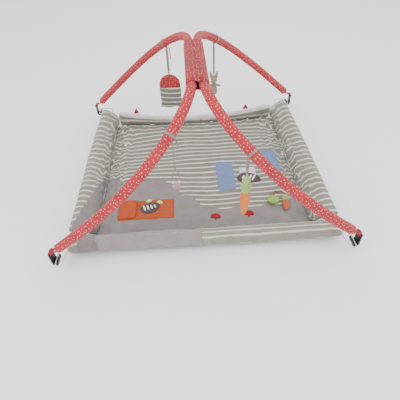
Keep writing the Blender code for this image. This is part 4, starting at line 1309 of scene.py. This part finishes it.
def solve_leg(run, reach):
    """End angle and length of the leg that ends at a given run and reach."""
    low = 0.3
    high = 2.8
    for _ in range(40):
        middle = (low + high) / 2
        part_run, part_reach = leg_sums(middle, 1.0)
        if part_reach * run < reach * part_run:
            low = middle
        else:
            high = middle
    angle = (low + high) / 2
    return angle, reach / leg_sums(angle, 1.0)[1]


LEG_DROP = Vector((ARCH_END.x - HUB_PLACE.x, 0, ARCH_END.z - HUB_PLACE.z))
LEG_ANGLE, LEG_LENGTH = solve_leg(ARCH_END.y - HUB_STRAIGHT / 2, LEG_DROP.length)


def leg_point(side, end, run, reach, angle):
    """Place and direction on a leg, from its run and reach in leg lengths and its angle."""
    slope = Vector((side * LEG_DROP.x, 0, LEG_DROP.z)).normalized()
    start = Vector((side * HUB_PLACE.x, end * (HUB_STRAIGHT / 2 + run * LEG_LENGTH), HUB_PLACE.z))
    along = Vector((0, math.cos(angle), 0)) + slope * (end * math.sin(angle))
    return start + slope * (reach * LEG_LENGTH), along


def arch_points(side):
    """Points and directions of a sleeve from its front end to its rear end."""
    steps = max(8, round(LEG_LENGTH / SLEEVE_SPACING))
    leg = []
    run = 0.0
    reach = 0.0
    for k in range(steps + 1):
        leg.append((run, reach, leg_lean(LEG_ANGLE, k / steps)))
        if k < steps:
            middle = leg_lean(LEG_ANGLE, (k + 0.5) / steps)
            run += math.cos(middle) / steps
            reach += math.sin(middle) / steps
    inner = round(HUB_STRAIGHT / SLEEVE_SPACING)
    places = [HUB_STRAIGHT * (k / inner - 0.5) for k in range(1, inner)]
    straight = [(Vector((side * HUB_PLACE.x, y, HUB_PLACE.z)), Vector((0, 1, 0))) for y in places]
    front = [leg_point(side, -1, *station) for station in reversed(leg)]
    return front + straight + [leg_point(side, 1, *station) for station in leg]


class GYM_OT_sleeves(GymOperator):
    """Padded sleeves over the poles."""

    bl_idname = "gym.sleeves"
    bl_label = "Sleeves"

    def execute(self, context):
        for label, side in SIDES.items():
            line = arch_points(side)
            last = len(line) - 1
            rings = []
            lengths = [0.0]
            travelled = 0.0
            for index, (place, along) in enumerate(line):
                if index:
                    travelled += (place - line[index - 1][0]).length
                lengths.append(travelled)
                gap = min(index, last - index) * SLEEVE_SPACING
                rings.append(self.ring(place, along, travelled, gap, side))
            lengths.append(travelled)
            rings = [self.hem(line[0], rings[0], 0.004)] + rings + [self.hem(line[-1], rings[-1], -0.004)]
            mesh = skin(rings, (2 * math.pi * SLEEVE_RADIUS / SLEEVE_SIDES, lengths))
            material = finish(spotted_sleeve)
            node = f"sleeve_{label}"
            put(f"{label}_sleeve", mesh, f"{label}_arch", material, node)
            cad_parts[f"pole_{label}"].material_slots[0].material = finish(drawn_fibre)
        return {"FINISHED"}

    def ring(self, place, along, travelled, gap, side):
        """Outline of the sleeve at one place, drawn in where the gap to its end is small."""
        out = along.cross(Vector((0, 0, 1))).normalized()
        up = out.cross(along)
        mouth = 0.80 + 0.20 * math.sqrt(min(1.0, (gap + 0.0008) / 0.010))
        gathers = 0.0009 * max(0.0, 1 - gap / 0.022)
        points = []
        for k in range(SLEEVE_SIDES):
            turn = 2 * math.pi * k / SLEEVE_SIDES
            spot = Vector((travelled, math.cos(turn) * 0.012, math.sin(turn) * 0.012 + side))
            wrinkle = ridged(Vector((spot.x, spot.y * 0.5, spot.z * 0.5)), 75.0, side * 3.0) * 0.0009
            slow = wander(spot, 28.0, side * 2.0) * 0.0005
            seam = 0.0010 * bell(turn - SLEEVE_SEAM_TURN, 0.09)
            radius = SLEEVE_RADIUS * mouth + slow - wrinkle + math.sin(turn * 9 + side) * gathers + seam
            way = out * math.cos(turn) + up * math.sin(turn)
            points.append(place + way * min(radius, SLEEVE_RADIUS + 0.0009))
        return points

    def hem(self, end, ring, depth):
        """Smaller ring inside a mouth, where the cloth is turned in."""
        place, along = end
        return [place + along * depth + (point - place) * 0.62 for point in ring]


HUB_FRONT = 0.178
HUB_REAR = 0.128
HUB_ROWS = 84
HUB_CLOTH = 0.0024
HUB_INNER_CLOTH = 0.0002
HUB_STITCH_INSET = 0.004


class GYM_OT_hub(GymOperator):
    """Sewn panel round both sleeves, which follows them to where they part."""

    bl_idname = "gym.hub"
    bl_label = "Hub panel"

    def execute(self, context):
        work = bmesh.new()
        work.loops.layers.uv.new("flat")
        stations = [-HUB_FRONT + (HUB_FRONT + HUB_REAR) * k / HUB_ROWS for k in range(HUB_ROWS + 1)]
        outer = [self.ring(work, station, HUB_CLOTH) for station in stations]
        inner = [self.ring(work, station, HUB_INNER_CLOTH) for station in stations]
        count = len(outer[0])
        step = 2 * (math.pi * SLEEVE_RADIUS + 2 * HUB_PLACE.x) / count
        for rings in (outer, inner):
            for row in range(HUB_ROWS):
                band(work, rings[row], rings[row + 1], (step, stations[row], stations[row + 1]))
        for row in (0, -1):
            for i in range(count):
                j = (i + 1) % count
                corners = (outer[row][i], outer[row][j], inner[row][j], inner[row][i])
                face(work, corners, [(i * step, stations[row])] * 4)
        put("hub_panel", closed(work), "left_arch", finish(spotted_panel), "hub_cover")
        return {"FINISHED"}

    def sleeve_middle(self, station):
        """Place and direction of the right sleeve at a length from the middle of the hub."""
        beyond = abs(station) - HUB_STRAIGHT / 2
        if beyond <= 0:
            return Vector((HUB_PLACE.x, station, HUB_PLACE.z)), Vector((0, 1, 0))
        share = beyond / LEG_LENGTH
        run, reach = leg_sums(LEG_ANGLE, share, 24)
        return leg_point(1, math.copysign(1, station), run, reach, leg_lean(LEG_ANGLE, share))

    def ring(self, work, station, cloth):
        """Outline round both sleeves, flat between them with a shallow groove."""
        place, along = self.sleeve_middle(station)
        up = Vector((1, 0, 0)).cross(along)
        up = Vector((0, up.y, up.z)).normalized()
        edge = min(station + HUB_FRONT, HUB_REAR - station)
        radius = SLEEVE_RADIUS + cloth - (cloth - 0.0006) * (1 - sunk(0.0, 0.016, edge))
        points = []
        for side in (1, -1):
            for k in range(25):
                turn = math.pi * (k / 24 - 0.5) * side
                way = Vector((math.cos(turn) * side, 0, 0)) + up * math.sin(turn)
                points.append(Vector((side * place.x, place.y, place.z)) + way * radius)
            start = points[-1].copy()
            opposite = Vector((-start.x, start.y, start.z))
            for k in range(1, 12):
                across = k / 12
                groove = 0.0030 * bell(across - 0.5, 0.16) * side
                points.append(start.lerp(opposite, across) - up * groove)
        pucker = 0.0006 * cloth / HUB_CLOTH
        corners = []
        for point in points:
            rise = wander(Vector((point.x, point.y, point.z * 0.5)), 60.0, 4.0) * pucker
            corners.append(work.verts.new(point + up * rise))
        return corners


class GYM_OT_corners(GymOperator):
    """Hooks, their straps and the corner loops of the mat."""

    bl_idname = "gym.corners"
    bl_label = "Corner hooks"

    def execute(self, context):
        for end in ENDS:
            for side in SIDES:
                corner = f"{end}_{side}"
                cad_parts[f"hook_{corner}"].material_slots[0].material = finish(moulded_plastic)
                node = f"strap_{corner}"
                mesh = remeshed(node, 0.0006, 2)
                cloth = finish(spotted_cotton)
                put(f"{corner}_strap", mesh, f"{side}_arch", cloth, node)
                node = f"loop_{corner}"
                mesh = remeshed(node, 0.0008, 2)
                body = "wall_front" if end == "front" else f"wall_{side}"
                put(f"{corner}_loop", mesh, body, finish(lining_cotton), node)
        return {"FINISHED"}


# Toys and their ribbons: each toy's name, its ribbon's node and the sleeve that it hangs from

TOYS = (
    ("pouch", "pouch_ribbon", "left"),
    ("rabbit", "rabbit_ribbon", "right"),
    ("beads", "beads_thread", "left"),
    ("carrot", "carrot_ribbon", "right"),
)
RIBBON_ROWS = 40
RIBBON_SIDES = 16
RIBBON_SWAY = 0.0006


def flat_ribbon(top, bottom, width, thickness):
    """Flat ribbon between two points with a slight sway, and the line that it follows."""
    rings = []
    path = []
    for row in range(RIBBON_ROWS + 1):
        share = row / RIBBON_ROWS
        sway = RIBBON_SWAY * math.sin(math.pi * share) * math.sin(2.6 * math.pi * share)
        place = top.lerp(bottom, share) + Vector((0, sway, 0))
        path.append(place)
        half = width / 2 * (1 + 0.03 * math.sin(row * 2.1))
        ring = []
        for k in range(RIBBON_SIDES):
            angle = 2 * math.pi * k / RIBBON_SIDES
            across = math.copysign(abs(math.cos(angle)) ** 0.5, math.cos(angle))
            out = math.copysign(abs(math.sin(angle)) ** 0.8, math.sin(angle))
            ring.append(place + Vector((across * half, out * thickness / 2, 0)))
        rings.append(ring)
    return skin(rings), path


class GYM_OT_ribbons(GymOperator):
    """Ribbons that the toys hang by, and their ties round the sleeves."""

    bl_idname = "gym.ribbons"
    bl_label = "Ribbons"

    def execute(self, context):
        material = finish(ribbed_ribbon)
        for toy, node, _ in TOYS:
            low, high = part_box(node)
            middle = (low + high) / 2
            top = Vector((middle.x, middle.y, high.z))
            bottom = Vector((middle.x, middle.y, low.z))
            width = high.x - low.x
            mesh, path = flat_ribbon(top, bottom, width * 0.98, high.y - low.y)
            piece = put(f"{toy}_hanging_ribbon", mesh, node, material, node)
        for toy, _, side in TOYS:
            mesh = remeshed(f"{toy}_tie", 0.00055, 2)
            mesh = moved(mesh, lambda point, normal: normal * (0.00025 * wander(point, 400.0, 1.0) + 0.0001))
            put(f"{toy}_knotted_tie", mesh, f"{side}_arch", material, f"{toy}_tie")
        return {"FINISHED"}


class GYM_OT_pouch(GymOperator):
    """Hanging pouch: spotted dome, striped body and orange top loop."""

    bl_idname = "gym.pouch"
    bl_label = "Pouch"

    def execute(self, context):
        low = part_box("pouch_body")[0]

        def puffed(point, normal):
            lower = 1 - sunk(0.0, 0.05, point.z - low.z)
            wave = math.sin((point.x - low.x) * 120.0) * 0.0022 * lower
            soft = wander(point, 45.0, 8.0) * 0.0012
            crease = ridged(Vector((point.x, point.y, point.z * 0.6)), 38.0, 5.0) * -0.0012
            return normal * (soft + crease) + Vector((0, 0, wave))

        for name, node, material, slot in (
            ("pouch_dome", "pouch_top", finish(spotted_cotton), "red_spotted_cotton"),
            ("pouch_lower", "pouch_body", finish(pouch_jersey), "striped_jersey"),
        ):
            mesh = moved(inflated(remeshed(node, 0.002, 3), 3.0, 0.002), puffed)
            put(name, mesh, "pouch", material, node)
        mesh = remeshed("pouch_loop", 0.0007, 2)
        put("pouch_top_loop", mesh, "pouch", finish(flap_cotton), "pouch_loop")
        return {"FINISHED"}


class GYM_OT_rabbit(GymOperator):
    """Long-eared plush in speckled linen."""

    bl_idname = "gym.rabbit"
    bl_label = "Linen plush"

    def execute(self, context):
        for part in ("body", "head", "ear_left", "ear_right", "arm_left", "arm_right"):
            node = f"rabbit_{part}"
            middle = middle_of(node)

            def stuffing(point, normal):
                ridge = bell(point.y - middle.y, 0.0007) * 0.0004
                return normal * (0.0004 * wander(point, 220.0, 3.0) + 0.0004 + ridge)

            mesh = moved(remeshed(node, 0.0009, 3), stuffing)
            put(f"linen_{part}", mesh, "rabbit", finish(speckled_linen), node)
        return {"FINISHED"}


class GYM_OT_beads(GymOperator):
    """Cord loop with two white beads and a round pendant."""

    bl_idname = "gym.beads"
    bl_label = "Beads"

    def execute(self, context):
        mesh = remeshed("bead_loop", 0.00055, 2)
        put("bead_cord", mesh, "beads", finish(ribbed_ribbon), "bead_loop")
        for label in SIDES:
            node = f"white_bead_{label}"
            white = finish(painted_wood, "white_wood", BEAD_WHITE)
            put(f"{label}_bead", self.turned(node, 0.0007, 2), "beads", white, node)
        mesh = self.turned("bead_pendant", 0.001, 3)
        put("round_pendant", mesh, "beads", finish(pendant_wood), "bead_pendant")
        return {"FINISHED"}

    def turned(self, node, voxel, rounds):
        """Smooth wooden shape."""
        return changed(remeshed(node, voxel, rounds), "SUBSURF", levels=1, render_levels=1)


class GYM_OT_carrot(GymOperator):
    """Hanging carrot with lobed leaves."""

    bl_idname = "gym.carrot"
    bl_label = "Carrot"

    def execute(self, context):
        middle = middle_of("carrot_leaves").x

        def leafy(point, normal):
            across = point.x - middle
            scallop = math.sin(point.z * 420.0) * 0.0011 * abs(across) / 0.018
            vein = bell(across, 0.0010) * -0.0010
            return normal * (scallop + vein + 0.0005 * wander(point, 130.0, 9.0))

        def rooty(point, normal):
            rings = ridged(Vector((point.x * 0.3, point.y * 0.3, point.z)), 85.0, 2.0) * -0.0007
            seam = bell(point.x - middle, 0.0008) * 0.0005
            return normal * (rings + seam + 0.0004)

        for name, node, change, colour, slot in (
            ("leaf_tuft", "carrot_leaves", leafy, LEAF_GREEN, "green_cotton"),
            ("carrot_body", "carrot_root", rooty, CARROT_ORANGE, "orange_cotton"),
        ):
            mesh = moved(remeshed(node, 0.0013, 2), change)
            put(name, mesh, "carrot", finish(plain_cotton, f"{name}_cotton", colour, 0.1), node)
        return {"FINISHED"}


class GYM_PT_panel(bpy.types.Panel):
    """Lists the piece makers, colours and sizes."""

    bl_label = "Play gym"
    bl_idname = "GYM_PT_panel"
    bl_space_type = "VIEW_3D"
    bl_region_type = "UI"
    bl_category = "Play gym"

    def draw(self, context):
        for maker in MAKERS:
            self.layout.operator(maker.bl_idname)
        for group in (context.scene.gym_colours, context.scene.gym_sizes):
            for name in group.__annotations__:
                self.layout.prop(group, name)


MAKERS = (
    GYM_OT_stage,
    GYM_OT_ribbons,
    GYM_OT_mat_floor,
    GYM_OT_mat_walls,
    GYM_OT_sewn_pieces,
    GYM_OT_loose_shapes,
    GYM_OT_sleeves,
    GYM_OT_hub,
    GYM_OT_corners,
    GYM_OT_pouch,
    GYM_OT_rabbit,
    GYM_OT_beads,
    GYM_OT_carrot,
)
CLASSES = (SceneColours, GymSizes, *MAKERS, GYM_PT_panel)


def register():
    for item in CLASSES:
        bpy.utils.register_class(item)
    bpy.types.Scene.gym_colours = PointerProperty(type=SceneColours)
    bpy.types.Scene.gym_sizes = PointerProperty(type=GymSizes)


def unregister():
    del bpy.types.Scene.gym_colours
    del bpy.types.Scene.gym_sizes
    for item in reversed(CLASSES):
        bpy.utils.unregister_class(item)


def main():
    register()
    for maker in MAKERS:
        group, name = maker.bl_idname.split(".")
        getattr(getattr(bpy.ops, group), name)()
    bpy.context.view_layer.update()


if __name__ == "__main__":
    main()
